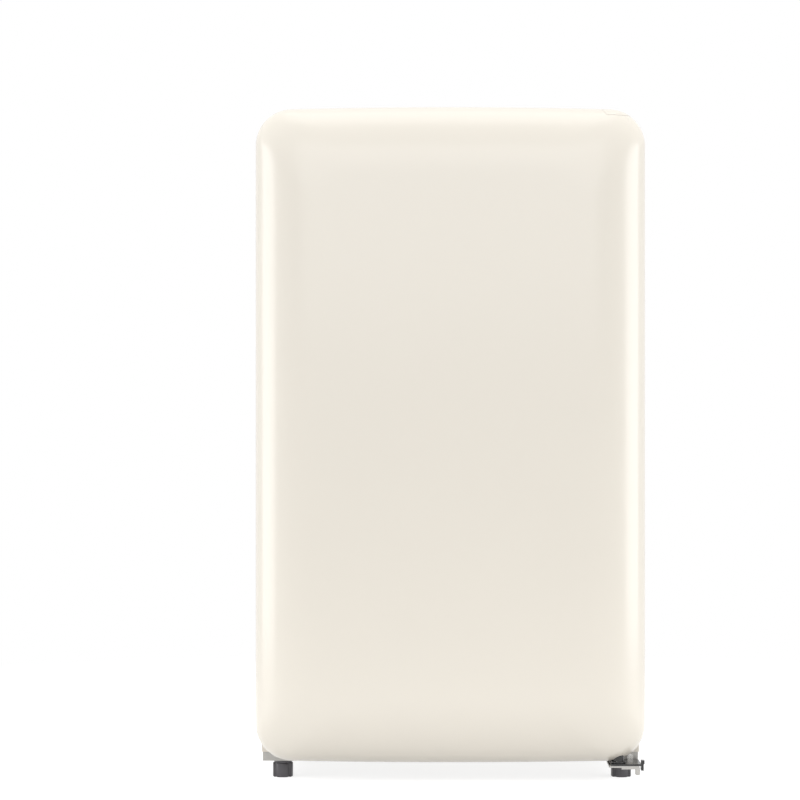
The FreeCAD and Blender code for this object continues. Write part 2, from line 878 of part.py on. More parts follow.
def build_base_frame():
    """The galvanised channel ring under the cabinet, with bosses for the feet."""
    body = new_body("base_frame")
    side = half_width - s.base_inset
    front = cabinet_front_y + s.base_setback
    back = cabinet_back_y - s.base_setback
    wide = s.base_rail
    wall = s.base_sheet
    bottom, top = s.foot_height, cabinet_bottom
    pad(body, "XY", [rect(-side, side, front, back),
                     rect(-side + wide, side - wide, front + wide, back - wide)], bottom, top)
    outer = rect(-side + wall, side - wall, front + wall, back - wall)
    inner = rect(-side + wide - wall, side - wide + wall,
                 front + wide - wall, back - wide + wall)
    pocket(body, "XY", [outer, inner], bottom, top - wall)
    bosses = [disc(x, y, s.foot_stud + s.stud_boss) for x, y in front_feet + rear_feet]
    pad(body, "XY", bosses, bottom, top)
    threads = [disc(x, y, s.foot_stud + s.pin_running_fit) for x, y in front_feet + rear_feet]
    pocket(body, "XY", threads, bottom, top)
    screws = [disc(x, lower_screw_z, s.hinge_screw + s.foam_gap) for x in lower_screw_spots]
    pocket(body, "XZ", screws, front, front + wall)


bracket_left = hinge_x - s.bracket_left
bracket_right = hinge_x + s.bracket_right
lower_screw_spots = [bracket_left + s.lower_screw_left, bracket_right - s.lower_screw_right]
lower_screw_z = s.foot_height + s.base_height / 2 - s.lower_screw_drop


def build_front_foot(name, x):
    """A black levelling knob on its threaded stud."""
    body = new_body(name)
    groove = s.foot_groove
    pad(body, "XY", [disc(0, 0, s.foot_radius)], 0, s.foot_body)
    round_off(body, s.foot_round)
    grooves = []
    for i in range(int(s.foot_lobes.value)):
        angle = 2 * math.pi * (i + 0.5) / s.foot_lobes.value + math.pi / 2
        ring = s.foot_radius - groove / 4
        grooves.append(disc(ring * math.cos(angle), ring * math.sin(angle), groove))
    pocket(body, "XY", grooves, -s.reach_past, s.foot_body - s.foot_collar)
    pad(body, "XY", [disc(0, 0, s.foot_neck)], s.foot_body, s.foot_height)
    pad(body, "XY", [disc(0, 0, s.foot_stud)], s.foot_height, s.foot_height + s.stud_length)
    place(body, x, foot_y, 0)


def round_off(body, radius):
    """Rounds the lower and upper rims of a body's first prism."""
    base = body.Tip
    rims = [f"Edge{i + 1}" for i, e in enumerate(base.Shape.Edges) if len(e.Vertexes) == 1]
    fillet = body.newObject("PartDesign::Fillet", "rims")
    fillet.Base = (base, rims)
    bind(fillet, {"Radius": radius})
    doc.recompute()


def build_rear_feet():
    """Two fixed rear feet with their studs."""
    feet = []
    for x, y in rear_feet:
        foot = rod("Z", s.rear_foot_radius, 0, s.foot_height, x, y)
        stud = rod("Z", s.foot_stud, s.foot_height, cabinet_bottom - s.rear_stud_gap, x, y)
        feet.append(fuse([foot, stud]))
    piece(fuse(feet), "rear_feet")


# Door: its outline and its rolled front.

door_half = s.cabinet_width / 2 + s.door_overhang
door_bottom = cabinet_bottom - s.door_drop
door_top = cabinet_top + s.door_rise
ring_y = front_y + s.pillow_depth


def crown(rise, inset):
    """Radius of a slightly arched edge, and how far its centre lies from the edge."""
    radius = (door_half.value ** 2 + rise ** 2) / (2 * rise)
    return radius - inset, radius


def door_outline(inset, y):
    """The door seen from the front: straight sides, arched top and bottom, round corners."""
    side = door_half.value - inset
    ends = []
    for sign, edge, rise, corner in (
        (1, door_top.value, s.crown_top.value, s.door_corner_top.value),
        (-1, door_bottom.value, s.crown_bottom.value, s.door_corner_bottom.value),
    ):
        radius, reach = crown(rise, inset)
        centre_z = edge - sign * reach
        corner = min(corner, side / 2)
        x = side - corner
        z = math.sqrt((radius - corner) ** 2 - x ** 2)
        lean = math.atan2(z, x)
        diagonal = lean / 2
        ends.append({
            "side": (side, centre_z + sign * z),
            "corner": (x + corner * math.cos(diagonal),
                       centre_z + sign * (z + corner * math.sin(diagonal))),
            "rise": (x + corner * math.cos(lean),
                     centre_z + sign * (z + corner * math.sin(lean))),
            "edge": (0, centre_z + sign * radius),
        })
    top, bottom = ends

    def spot(end, key, mirror=1):
        x, z = end[key]
        return FreeCAD.Vector(mirror * x, y, z)

    return Part.Wire([
        Part.LineSegment(spot(bottom, "side"), spot(top, "side")).toShape(),
        Part.Arc(spot(top, "side"), spot(top, "corner"), spot(top, "rise")).toShape(),
        Part.Arc(spot(top, "rise"), spot(top, "edge"), spot(top, "rise", -1)).toShape(),
        Part.Arc(spot(top, "rise", -1), spot(top, "corner", -1),
                 spot(top, "side", -1)).toShape(),
        Part.LineSegment(spot(top, "side", -1), spot(bottom, "side", -1)).toShape(),
        Part.Arc(spot(bottom, "side", -1), spot(bottom, "corner", -1),
                 spot(bottom, "rise", -1)).toShape(),
        Part.Arc(spot(bottom, "rise", -1), spot(bottom, "edge"),
                 spot(bottom, "rise")).toShape(),
        Part.Arc(spot(bottom, "rise"), spot(bottom, "corner"),
                 spot(bottom, "side")).toShape(),
    ])


def door_block(inset):
    """The door as a solid, with every outside face moved in by the inset."""
    inset = as_size(inset).value
    back = door_back_y.value - inset
    ring = ring_y.value
    rear = Part.Face(door_outline(inset, back)).extrude(FreeCAD.Vector(0, ring - back, 0))
    rims = [e for e in rear.Edges if all(abs(v.Y - back) < 1e-6 for v in e.Vertexes)]
    rear = rear.makeFillet(s.door_rear_round.value - inset, rims)
    depth = s.pillow_depth.value - inset
    steps = int(s.pillow_steps.value)
    rings = []
    for i in range(steps + 1):
        angle = math.pi / 2 * i / steps
        run = s.pillow_run.value * (1 - math.cos(angle))
        rings.append(door_outline(inset + run, ring - depth * math.sin(angle)))
    pillow = Part.makeLoft(rings, True, False)
    return rear.fuse(pillow).removeSplitter()


def hinge_hollows(grow):
    """What is cut from the top and bottom of the door round its two pins."""
    up = FreeCAD.Vector(0, 0, 1)
    x, y = hinge_x, hinge_y
    notch_z = upper_bushing_top - grow
    notch_height = (door_top - notch_z).value
    arm = arm_half + s.arm_gap + grow
    bore = (s.pin_radius + s.bushing_wall + grow).value

    def well(radius, low, high):
        return Part.makeCylinder(radius, (high - low).value, vector(x, y, low), up)

    corner = well((s.cap_radius + s.cap_gap + grow).value, notch_z, door_top)
    slot = Part.makeBox((door_half - x + arm).value,
                        (s.hinge_setback + s.reach_past).value,
                        notch_height, vector(x - arm, y, notch_z))
    upper = well(bore, upper_bushing_top - s.bushing_length - grow, door_top)
    lower = well(bore, door_bottom, lower_bushing_top + grow)
    relief = well((s.washer_radius + s.washer_gap + grow).value, door_bottom,
                  lower_bushing_bottom + grow)
    return [corner, slot, upper, lower, relief]


bracket_y = cabinet_front_y - s.bracket_reach
bracket_z = s.foot_height - 2
lower_pin_top = bracket_z + s.lower_pin_length
washer_bottom = bracket_z + s.bracket_sheet + s.glide_sheet
washer_top = washer_bottom + s.washer_height
lower_bushing_bottom = washer_top + s.running_gap
lower_bushing_top = lower_bushing_bottom + s.bushing_length
upper_bushing_top = cabinet_top - s.cap_height - s.cap_gap
flange_x = door_half - s.door_flange_margin
flange_bottom = door_bottom + s.door_flange_margin
flange_top = door_top - s.door_flange_margin - s.crown_top
dike_x = door_half - s.dike_margin
dike_bottom = door_bottom + s.dike_margin
dike_top = door_top - s.dike_margin
dike_back_y = door_back_y + s.dike_depth
recess_x = dike_x - s.dike_width
recess_bottom = dike_bottom + s.dike_width
recess_top = dike_top - s.dike_width
recess_y = door_back_y - s.recess_depth
rack_middle_z = recess_bottom + s.rack_middle_rise
rack_top_z = recess_top - s.rack_top_drop
gasket_outer = half_width - s.gasket_side
gasket_inner = gasket_outer - s.gasket_width
gasket_low = cabinet_bottom + s.gasket_bottom
gasket_high = cabinet_top - s.gasket_top
grip_centre = door_bottom + s.grip_rise
grip_left = -door_half + s.grip_inset
grip_right = grip_left + s.grip_width
grip_front_y = door_back_y - s.grip_depth
grip_low = grip_centre - s.grip_height / 2
grip_high = grip_centre + s.grip_height / 2


def flange_face(shrink, y, depth):
    """The door liner's flange as a rounded slab."""
    side = (flange_x - shrink).value
    low = (flange_bottom + shrink).value
    high = (flange_top - shrink).value
    slab = Part.makeBox(2 * side, depth, high - low, FreeCAD.Vector(-side, y, low))
    upright = [e for e in slab.Edges if abs(e.Vertexes[0].Y - e.Vertexes[1].Y) > 1e-6]
    return slab.makeFillet((s.gasket_corner - shrink).value, upright)


def grip_slab(grow):
    """The space that the grip cup takes out of the door's rear left edge."""
    low = (grip_low - grow).value
    high = (grip_high + grow).value
    left = (-door_half - s.reach_past).value
    right = (grip_right + grow).value
    front = (grip_front_y - grow).value
    back = (door_back_y + s.reach_past).value
    return Part.makeBox(right - left, back - front, high - low,
                        FreeCAD.Vector(left, front, low))


def build_door_skin():
    """The painted steel front of the door, rolled over at its rim."""
    gap = s.foam_gap.value
    sheet_depth = s.door_sheet.value
    skin = door_block(0).cut(door_block(s.door_sheet))
    window = flange_face(-s.foam_gap, door_back_y.value - 2 * sheet_depth, 4 * sheet_depth)
    skin = skin.cut([window, grip_slab(gap)] + hinge_hollows(0))
    feature(skin, "door_skin")


def build_door_foam():
    """The foam that fills the door between its skin and its liner."""
    gap = s.foam_gap.value
    foam = door_block(s.door_sheet + s.foam_gap)
    wall = s.door_liner_sheet
    rear_y_low = door_back_y - wall - s.foam_gap
    back = door_back_y + s.reach_past
    rear_slab = flange_face(-2 * s.foam_gap, rear_y_low.value, (back - rear_y_low).value)
    tub_x = recess_x + wall + s.foam_gap
    tub_low = recess_bottom - wall - s.foam_gap
    tub_high = recess_top + wall + s.foam_gap
    tub_y = recess_y - wall - s.foam_gap
    tub = Part.makeBox((tub_x * 2).value, (back - tub_y).value, (tub_high - tub_low).value,
                       vector(-tub_x, tub_y, tub_low))
    foam = foam.cut([rear_slab, tub, grip_slab(2 * gap)] + hinge_hollows(s.foam_gap))
    rib = dike_filling()
    feature(foam.fuse(rib).removeSplitter(), "door_foam")


def dike_filling():
    """The foam inside the dike that runs round the door liner."""
    wall = s.door_liner_sheet + s.foam_gap
    outer_x = dike_x - wall
    inner_x_half = recess_x + wall
    low, high = dike_bottom + wall, dike_top - wall
    inner_low, inner_high = recess_bottom - wall, recess_top + wall
    start = door_back_y - wall - s.reach_past
    depth = dike_back_y - wall - start
    block = Part.makeBox((outer_x * 2).value, depth.value, (high - low).value,
                         vector(-outer_x, start, low))
    corners = [e for e in block.Edges if abs(e.Vertexes[0].Y - e.Vertexes[1].Y) > 1e-6]
    block = block.makeFillet((s.dike_corner - s.door_liner_sheet).value, corners)
    hole = Part.makeBox((inner_x_half * 2).value, (depth + s.reach_past * 2).value,
                        (inner_high - inner_low).value,
                        vector(-inner_x_half, start - s.reach_past, inner_low))
    return block.cut(hole)


def build_door_liner():
    """The white moulded door liner: flange, raised dike and recess, with rack bosses."""
    body = new_body("door_liner")
    wall = s.door_liner_sheet
    back = door_back_y
    flange = rect(-flange_x, flange_x, flange_bottom, flange_top, s.gasket_corner)
    pad(body, "XZ", [flange], back - wall, back)
    tub = rect(-recess_x - wall, recess_x + wall, recess_bottom - wall, recess_top + wall)
    pad(body, "XZ", [tub], recess_y - wall, back)
    dike = rect(-dike_x, dike_x, dike_bottom, dike_top, s.dike_corner)
    pad(body, "XZ", [dike], back, dike_back_y)
    outer = rect(-dike_x + wall, dike_x - wall, dike_bottom + wall, dike_top - wall,
                 s.dike_corner - wall)
    inner = rect(-recess_x - wall, recess_x + wall, recess_bottom - wall, recess_top + wall)
    pocket(body, "XZ", [outer, inner], back - wall, dike_back_y - wall)
    hollow = rect(-recess_x, recess_x, recess_bottom, recess_top)
    pocket(body, "XZ", [hollow], recess_y, dike_back_y)
    loops = []
    for z in rack_floors[1:]:
        loops += both_sides(recess_x - s.rack_boss, recess_x + wall / 2,
                            z - s.rack_boss, z)
    pad(body, "XZ", loops, recess_y, dike_back_y - s.boss_setback)
    cup = rect(-door_half, grip_right + s.foam_gap, grip_low - s.foam_gap,
               grip_high + s.foam_gap)
    pocket(body, "XZ", [cup], back - wall, back)


rack_floors = [recess_bottom, rack_middle_z, rack_top_z]


def build_door_gasket():
    """The soft magnetic seal, a hollow profile that runs round the door."""
    body = new_body("door_gasket")
    wall = s.gasket_wall
    base, seat = door_back_y, cabinet_front_y - s.running_gap
    low, high = gasket_low, gasket_high
    depth = gasket_outer - gasket_inner

    def ring(start, end):
        loops = []
        for inset in (start, end):
            side = gasket_outer - inset
            loops.append(rect(-side, side, low + inset, high - inset,
                              s.gasket_corner - inset))
        return loops

    pad(body, "XZ", ring(0, depth), base, base + wall)
    pad(body, "XZ", ring(0, wall), base + wall, seat - wall)
    pad(body, "XZ", ring(depth - wall, depth), base + wall, seat - wall)
    pad(body, "XZ", ring(0, depth), seat - wall, seat)


def build_gasket_magnets():
    """Four magnet strips inside the seal."""
    wall = s.gasket_wall + s.foam_gap
    seat = cabinet_front_y - s.running_gap
    x0, x1 = gasket_inner + wall, gasket_outer - wall
    y1 = seat - wall
    y0 = y1 - s.magnet_depth
    low, high = gasket_low, gasket_high
    depth = gasket_outer - gasket_inner - wall * 2
    corner = s.gasket_corner
    strips = [
        box(x0, x1, y0, y1, low + corner, high - corner),
        box(-x1, -x0, y0, y1, low + corner, high - corner),
        box(-x0 + corner, x0 - corner, y0, y1, low + wall, low + wall + depth),
        box(-x0 + corner, x0 - corner, y0, y1, high - wall - depth, high - wall),
    ]
    piece(fuse(strips), "gasket_magnets")


def build_rack(name, floor, height):
    """A clear door rack: a floor, two ends, a back and a lower front lip."""
    body = new_body(name)
    side = recess_x - s.foam_gap
    wall = s.rack_wall
    start = recess_y + s.foam_gap
    end = start + s.rack_depth
    pad(body, "XZ", [rect(-side, side, 0, height)], start, end)
    inside = rect(-side + wall, side - wall, start + wall, end - wall, s.rack_corner)
    pocket(body, "XY", [inside], wall, height)
    place(body, 0, 0, floor)


def build_door_grip():
    """The finger cup in the rear left edge of the door."""
    body = new_body("door_grip")
    wall = s.grip_wall
    back = door_back_y
    pad(body, "XZ", [rect(grip_left, grip_right, grip_low, grip_high)], grip_front_y, back)
    inside = rect(grip_left - s.reach_past, grip_right - wall, grip_low + wall,
                  grip_high - wall)
    pocket(body, "XZ", [inside], grip_front_y + wall, back)


# Hinges.


def build_hinge_bushings():
    """Two plastic bushings in the door, one for each hinge pin."""
    bushings = []
    outer = s.pin_radius + s.bushing_wall - s.foam_gap
    bore = s.pin_radius + s.pin_running_fit
    for low in (lower_bushing_bottom, upper_bushing_top - s.bushing_length):
        high = low + s.bushing_length
        sleeve = rod("Z", outer, low, high, hinge_x, hinge_y)
        hollow = rod("Z", bore, low - s.reach_past, high + s.reach_past, hinge_x, hinge_y)
        bushings.append(cut(sleeve, [hollow]))
    piece(fuse(bushings), "hinge_bushings")


def build_top_hinge_plate():
    """The top plate with its arm over the door and the pin below the arm's end."""
    body = new_body("top_hinge_plate")
    x, y = hinge_x, hinge_y
    left, tip = top_plate_x, y - arm_half
    corner, tip_round = s.top_plate_corner, arm_half - s.arm_flat
    outline = [
        (left, top_plate_front, corner), (x - arm_half, top_plate_front),
        (x - arm_half, tip, tip_round), (x + arm_half, tip, tip_round),
        (x + arm_half, top_plate_back, corner), (left, top_plate_back, corner),
    ]
    pad(body, "XY", [outline], cabinet_top, top_plate_z)
    holes = [disc(u, v, s.hinge_screw + s.foam_gap) for u, v in hinge_screw_spots]
    pocket(body, "XY", holes, cabinet_top, top_plate_z)
    pad(body, "XY", [disc(x, y, s.pin_radius)], cabinet_top - s.top_pin_length, cabinet_top)


def build_top_hinge_cover():
    """The plastic cover over the top plate and its screws."""
    cover = new_body("top_hinge_cover")
    wall = s.cover_wall
    margin, corner = s.cover_margin, s.cover_corner
    x0, x1 = top_plate_x - margin, hinge_x + arm_half + margin
    y0, y1 = top_plate_front - wall - s.running_gap, top_plate_back + margin
    top = cabinet_top + s.cover_height
    pad(cover, "XY", [rect(x0, x1, y0, y1, corner)], cabinet_top, top)
    inside = rect(x0 + wall, x1 - wall, y0 + wall, y1 - wall, corner - wall)
    pocket(cover, "XY", [inside], cabinet_top, top - wall)
    side = arm_half + s.running_gap
    arm = rect(hinge_x - side, hinge_x + side, cabinet_top, top_plate_z + s.running_gap)
    pocket(cover, "XZ", [arm], y0, y0 + wall)


def build_top_hinge_cap():
    """The painted corner cap over the top pin, which continues the door's shape."""
    z0 = cabinet_top - s.cap_height
    up = FreeCAD.Vector(0, 0, 1)
    plug = Part.makeCylinder(s.cap_radius.value, (door_top - z0).value,
                             vector(hinge_x, hinge_y, z0), up)
    gap, past = s.cap_seat_gap, s.reach_past
    half = arm_half + gap
    arm_low, arm_high = cabinet_top - gap, top_plate_z + gap
    arm_height = (arm_high - arm_low).value
    arm = Part.makeBox((half * 2).value, (s.cap_radius + past).value, arm_height,
                       vector(hinge_x - half, hinge_y, arm_low))
    arm_end = Part.makeCylinder(half.value, arm_height,
                                vector(hinge_x, hinge_y, arm_low), up)
    pin_low = z0 - past
    pin = Part.makeCylinder((s.pin_radius + gap).value, (arm_low + past - pin_low).value,
                            vector(hinge_x, hinge_y, pin_low), up)
    cap = door_block(0).common(plug).cut([arm, arm_end, pin])
    feature(cap, "top_hinge_cap")


def build_lower_hinge_bracket():
    """The zinc bracket that carries the door, with its small stop tab."""
    body = new_body("lower_hinge_bracket")
    thick = s.bracket_sheet
    left, right = bracket_left, bracket_right
    z1 = bracket_z + thick
    base_front = cabinet_front_y + s.base_setback
    plate = [(left, bracket_y, s.bracket_corner), (right, bracket_y, s.bracket_corner),
             (right, base_front), (left, base_front)]
    pad(body, "XY", [plate], bracket_z, z1)
    rear = rect(left, right, bracket_z, cabinet_bottom)
    pad(body, "XZ", [rear], base_front - thick, base_front)
    flange = rect(left + s.bracket_flange_left, right, z1 - s.bracket_flange, z1)
    flange_back = bracket_y + s.bracket_flange_sheet
    pad(body, "XZ", [flange], bracket_y, flange_back)
    tab_right = right + s.tab_overhang
    tab_left = tab_right - s.tab_width
    tab_low = z1 - s.bracket_flange - s.tab_height
    tab = [(tab_left, tab_low, s.tab_corner), (tab_right, tab_low, s.tab_corner),
           (tab_right, bracket_z), (tab_left, bracket_z)]
    pad(body, "XZ", [tab], bracket_y, flange_back)
    holes = [disc(x, lower_screw_z, s.hinge_screw + s.foam_gap) for x in lower_screw_spots]
    pocket(body, "XZ", holes, base_front - thick, base_front)
    seat = disc(hinge_x, hinge_y, s.pin_radius)
    pocket(body, "XY", [seat], bracket_z, z1)


def build_lower_hinge_pin():
    """The lower pin with the washer that the door stands on."""
    x, y = hinge_x, hinge_y
    pin = rod("Z", s.pin_radius, bracket_z, lower_pin_top, x, y)
    washer = rod("Z", s.washer_radius, washer_bottom, washer_top, x, y)
    piece(fuse([pin, washer]), "lower_hinge_pin")


def build_hinge_glide():
    """The black nylon plate on the bracket, with its curled end and stop lug."""
    body = new_body("hinge_glide")
    z0 = bracket_z + s.bracket_sheet
    z1 = z0 + s.glide_sheet
    left = bracket_left + s.glide_side
    right = bracket_right + s.glide_side
    front = bracket_y - s.glide_overhang
    back = cabinet_front_y - s.glide_setback
    pad(body, "XY", [rect(left, right, front, back)], z0, z1)
    lip = rect(right, right + s.glide_lip, z1 - s.glide_curl, z1)
    pad(body, "XZ", [lip], front, front + s.glide_lip_depth)
    lug = rect(right, right + s.glide_lip + s.lug_proud, z1, z1 + s.lug_height)
    pad(body, "XZ", [lug], front, front + s.lug_depth)
    hole = disc(hinge_x, hinge_y, s.pin_radius + s.foam_gap)
    pocket(body, "XY", [hole], z0, z1)


def build_hinge_screws():
    """Three screws for the top plate and two for the lower bracket."""
    screws = []
    for x, y in hinge_screw_spots:
        head = rod("Z", s.hinge_screw_head, top_plate_z, top_plate_z + s.top_head_height,
                   x, y)
        shank = rod("Z", s.hinge_screw, cabinet_top - s.hinge_screw_length, top_plate_z,
                    x, y)
        screws.append(fuse([head, shank]))
    y = cabinet_front_y + s.base_setback - s.bracket_sheet
    for x in lower_screw_spots:
        head = rod("Y", s.hinge_screw_head, y - s.lower_head_height, y, x, lower_screw_z)
        shank = rod("Y", s.hinge_screw, y, y + s.hinge_screw_length, x, lower_screw_z)
        screws.append(fuse([head, shank]))
    piece(fuse(screws), "hinge_screws")


# Ice box, chill tray, shelves and crisper.

ice_x = inner_x - s.ice_side_gap
ice_front_y = cabinet_front_y + s.ice_front
ice_back_y = inner_back_y - s.ice_back_gap
frame_front_y = ice_front_y - s.frame_depth
flap_back_y = frame_front_y - s.flap_gap
flap_front_y = flap_back_y - s.flap_sheet
flap_axis_y = flap_back_y - s.flap_sheet
flap_x = ice_x - s.flap_gap
shelf_front_y = cabinet_front_y + s.shelf_front
shelf_back_y = inner_back_y - s.shelf_back_gap


def build_ice_box():
    """The aluminium evaporator box, open to the front, with its raised channels."""
    body = new_body("ice_box")
    wall = s.ice_sheet
    corner = s.ice_corner
    outer = rect(-ice_x, ice_x, ice_bottom, ice_top, corner)
    pad(body, "XZ", [outer], ice_front_y, ice_back_y)
    inner = rect(-ice_x + wall, ice_x - wall, ice_bottom + wall, ice_top - wall,
                 corner - wall)
    pocket(body, "XZ", [inner], ice_front_y, ice_back_y - wall)
    count = int(s.channel_count.value)
    side, wide = ice_x - s.channel_side, s.channel_width
    first_y = ice_front_y + s.channel_front
    last_y = ice_back_y - s.channel_back - wide
    pitch = (last_y - first_y) / (s.channel_count - 1)
    channels = []
    for i in range(count):
        y = first_y + pitch * i
        channels.append(rect(-side, side, y, y + wide))
    pad(body, "XY", channels, ice_bottom - s.channel_rise, ice_bottom + wall / 2)


def build_ice_box_hangers():
    """Four plastic posts that hang the ice box from the ceiling."""
    posts = []
    inset = s.hanger_inset
    for x in (-ice_x + inset, ice_x - inset):
        for y in (ice_front_y + inset, ice_back_y - inset):
            posts.append(rod("Z", s.hanger_radius, ice_top, inner_top, x, y))
    piece(fuse(posts), "ice_box_hangers")


def build_ice_box_frame():
    """The white frame round the mouth of the ice box, with the flap's pivot ears."""
    body = new_body("ice_box_frame")
    wide = s.frame_width
    lip, ear = s.frame_lip, s.ear_half
    outer = rect(-ice_x - lip, ice_x + lip, ice_bottom - lip, ice_top + lip)
    inner = rect(-ice_x + wide, ice_x - wide, ice_bottom + wide, ice_top - wide)
    pad(body, "XZ", [outer, inner], frame_front_y, ice_front_y)
    reach = flap_axis_y - 2 * s.flap_pin
    ears = rect(flap_x - ear, flap_x + ear, reach, frame_front_y)
    pad(body, "XY", [ears], ice_top, ice_top + lip)
    pad(body, "XY", [ears], ice_bottom - lip, ice_bottom)
    holes = disc(flap_x, flap_axis_y, s.flap_pin + s.pin_running_fit)
    pocket(body, "XY", [holes], ice_bottom - lip, ice_top + lip)


def build_freezer_flap():
    """The ice box door, a white panel on two small pivot pins."""
    body = new_body("freezer_flap")
    low, high = ice_bottom + s.flap_gap, ice_top - s.flap_gap
    left = -ice_x + s.flap_side_gap
    barrel_left = flap_x - s.barrel_gap
    face = rect(left, barrel_left, low, high)
    pad(body, "XZ", [face], flap_front_y, flap_back_y)
    barrel = disc(flap_x, flap_axis_y, s.flap_sheet / 2)
    pad(body, "XY", [barrel], low, high)
    arm = rect(barrel_left - s.reach_past, flap_x, flap_front_y,
               flap_front_y + s.flap_sheet / 2)
    pad(body, "XY", [arm], low, high)
    pin = disc(flap_x, flap_axis_y, s.flap_pin)
    pad(body, "XY", [pin], ice_bottom - s.flap_pin_reach, ice_top + s.flap_pin_reach)
    border = s.flap_border
    panel = rect(left + border, flap_x - s.flap_hinge_border, low + border, high - border,
                 s.flap_panel_corner)
    pocket(body, "XZ", [panel], flap_front_y, flap_front_y + s.flap_panel_depth)
    grip = rect(left, left + s.flap_grip_width, low + s.flap_grip_inset,
                high - s.flap_grip_inset)
    pad(body, "XZ", [grip], flap_front_y - s.flap_grip_depth, flap_front_y)


def build_chill_tray():
    """The drip and chill tray that slides under the ice box."""
    body = new_body("chill_tray")
    side = inner_x - s.tray_side_gap
    front = cabinet_front_y + s.tray_front
    back = inner_back_y - s.tray_back_gap
    wall = s.tray_wall
    runner = inner_x - s.shelf_side_gap
    corner = s.tray_corner
    pad(body, "XY", [rect(-side, side, front, back, corner)], 0, s.tray_height)
    pad(body, "XY", [rect(-runner, runner, front + s.runner_setback, back)],
        0, s.runner_sheet)
    inside = rect(-side + wall, side - wall, front + wall, back - wall, corner - wall)
    pocket(body, "XY", [inside], wall, s.tray_height)
    place(body, 0, 0, tray_bottom)


def build_glass(name, z):
    """A glass shelf, let into its trims at the front and the back."""
    body = new_body(name)
    side = inner_x - s.shelf_side_gap
    inset = s.trim_depth / 2
    glass = rect(-side, side, shelf_front_y + inset, shelf_back_y - inset)
    pad(body, "XY", [glass], 0, s.shelf_glass)
    place(body, 0, 0, z)


def build_shelf_trims():
    """The front and rear trims of the three shelves, slotted for the glass."""
    trims = []
    half = inner_x - s.shelf_side_gap - s.rib_depth
    deep = s.trim_depth
    inset = deep / 2
    for z in (upper_shelf_z, lower_shelf_z, cover_shelf_z):
        low = z - s.trim_height / 2 + s.trim_rise
        bars = [
            box(-half, half, shelf_front_y, shelf_front_y + deep, low, low + s.trim_height),
            box(-half, half, shelf_back_y - deep, shelf_back_y, low, low + s.trim_height),
        ]
        slot = box(-half, half, shelf_front_y + inset, shelf_back_y - inset,
                   z, z + s.shelf_glass)
        trims.append(cut(fuse(bars), [slot]))
    piece(fuse(trims), "shelf_trims")


def build_crisper_drawer():
    """The clear vegetable drawer in front of the compressor hump."""
    body = new_body("crisper_drawer")
    side = inner_x - s.crisper_side_gap
    wall = s.crisper_wall
    front = cabinet_front_y + s.crisper_front
    back = hump_front_y - s.crisper_back_gap
    corner = s.crisper_corner
    pad(body, "XY", [rect(-side, side, front, back, corner)], 0, s.crisper_height)
    inside = rect(-side + wall, side - wall, front + wall, back - wall, corner - wall)
    pocket(body, "XY", [inside], wall, s.crisper_height)
    lip = rect(-s.crisper_lip_half, s.crisper_lip_half,
               s.crisper_height - s.crisper_lip_height, s.crisper_height)
    pad(body, "XZ", [lip], front - s.crisper_lip, front)
    place(body, 0, 0, inner_bottom + s.running_gap)


# Thermostat, lamp and door switch.

control_x = inner_x - s.control_width
control_front_y = cabinet_front_y + s.control_front
control_back_y = control_front_y + s.control_depth
control_top = control_bottom + s.control_height
knob_y = control_front_y + s.knob_setback
lamp_y = control_front_y + s.lamp_setback
knob_z = control_bottom + s.control_height / 2
plunger_x = inner_x - s.plunger_inset
plunger_z = control_bottom + s.plunger_rise
plunger_tip_y = dike_back_y + s.running_gap


def build_thermostat_housing():
    """The white box on the right wall that holds the thermostat and the lamp."""
    body = new_body("thermostat_housing")
    wall = s.control_wall
    corner, lap = s.control_corner, s.lens_lap
    outline = rect(control_front_y, control_back_y, control_bottom, control_top, corner)
    pad(body, "YZ", [outline], control_x, inner_x)
    inside = rect(control_front_y + wall, control_back_y - wall, control_bottom + wall,
                  control_top - wall, corner - wall)
    pocket(body, "YZ", [inside], control_x + wall, inner_x)
    shaft = disc(knob_y, knob_z, s.knob_shaft + s.shaft_gap)
    window = rect(lamp_y - s.lamp_length / 2 + lap, lamp_y + s.lamp_length / 2 - lap,
                  knob_z - s.lamp_height / 2 + lap, knob_z + s.lamp_height / 2 - lap)
    pocket(body, "YZ", [shaft, window], control_x, control_x + wall)
    hole = disc(plunger_x, plunger_z, s.plunger_radius + s.plunger_gap)
    pocket(body, "XZ", [hole], control_front_y, control_front_y + wall)


def build_thermostat_body():
    """The metal thermostat with its turning shaft, fixed to the liner wall."""
    half_depth, half_height = s.thermostat_depth / 2, s.thermostat_height / 2
    face = control_x + s.thermostat_setback
    case = box(face, inner_x, knob_y - half_depth, knob_y + half_depth,
               knob_z - half_height, knob_z + half_height)
    shaft = rod("X", s.knob_shaft, control_x - s.shaft_reach, face, knob_y, knob_z)
    piece(fuse([case, shaft]), "thermostat_body")


def build_thermostat_knob():
    """The round setting knob with its pointer rib."""
    body = new_body("thermostat_knob")
    high = control_x - s.running_gap
    low = high - s.knob_height
    pad(body, "YZ", [disc(knob_y, knob_z, s.knob_radius)], low, high)
    bore = disc(knob_y, knob_z, s.knob_shaft + s.pin_running_fit)
    pocket(body, "YZ", [bore], low + s.knob_face, high)
    reach = s.knob_radius - s.knob_rib_gap
    rib = rect(knob_y - s.knob_rib_half, knob_y + s.knob_rib_half,
               knob_z - reach, knob_z + reach)
    pad(body, "YZ", [rib], low - s.knob_rib_height, low)


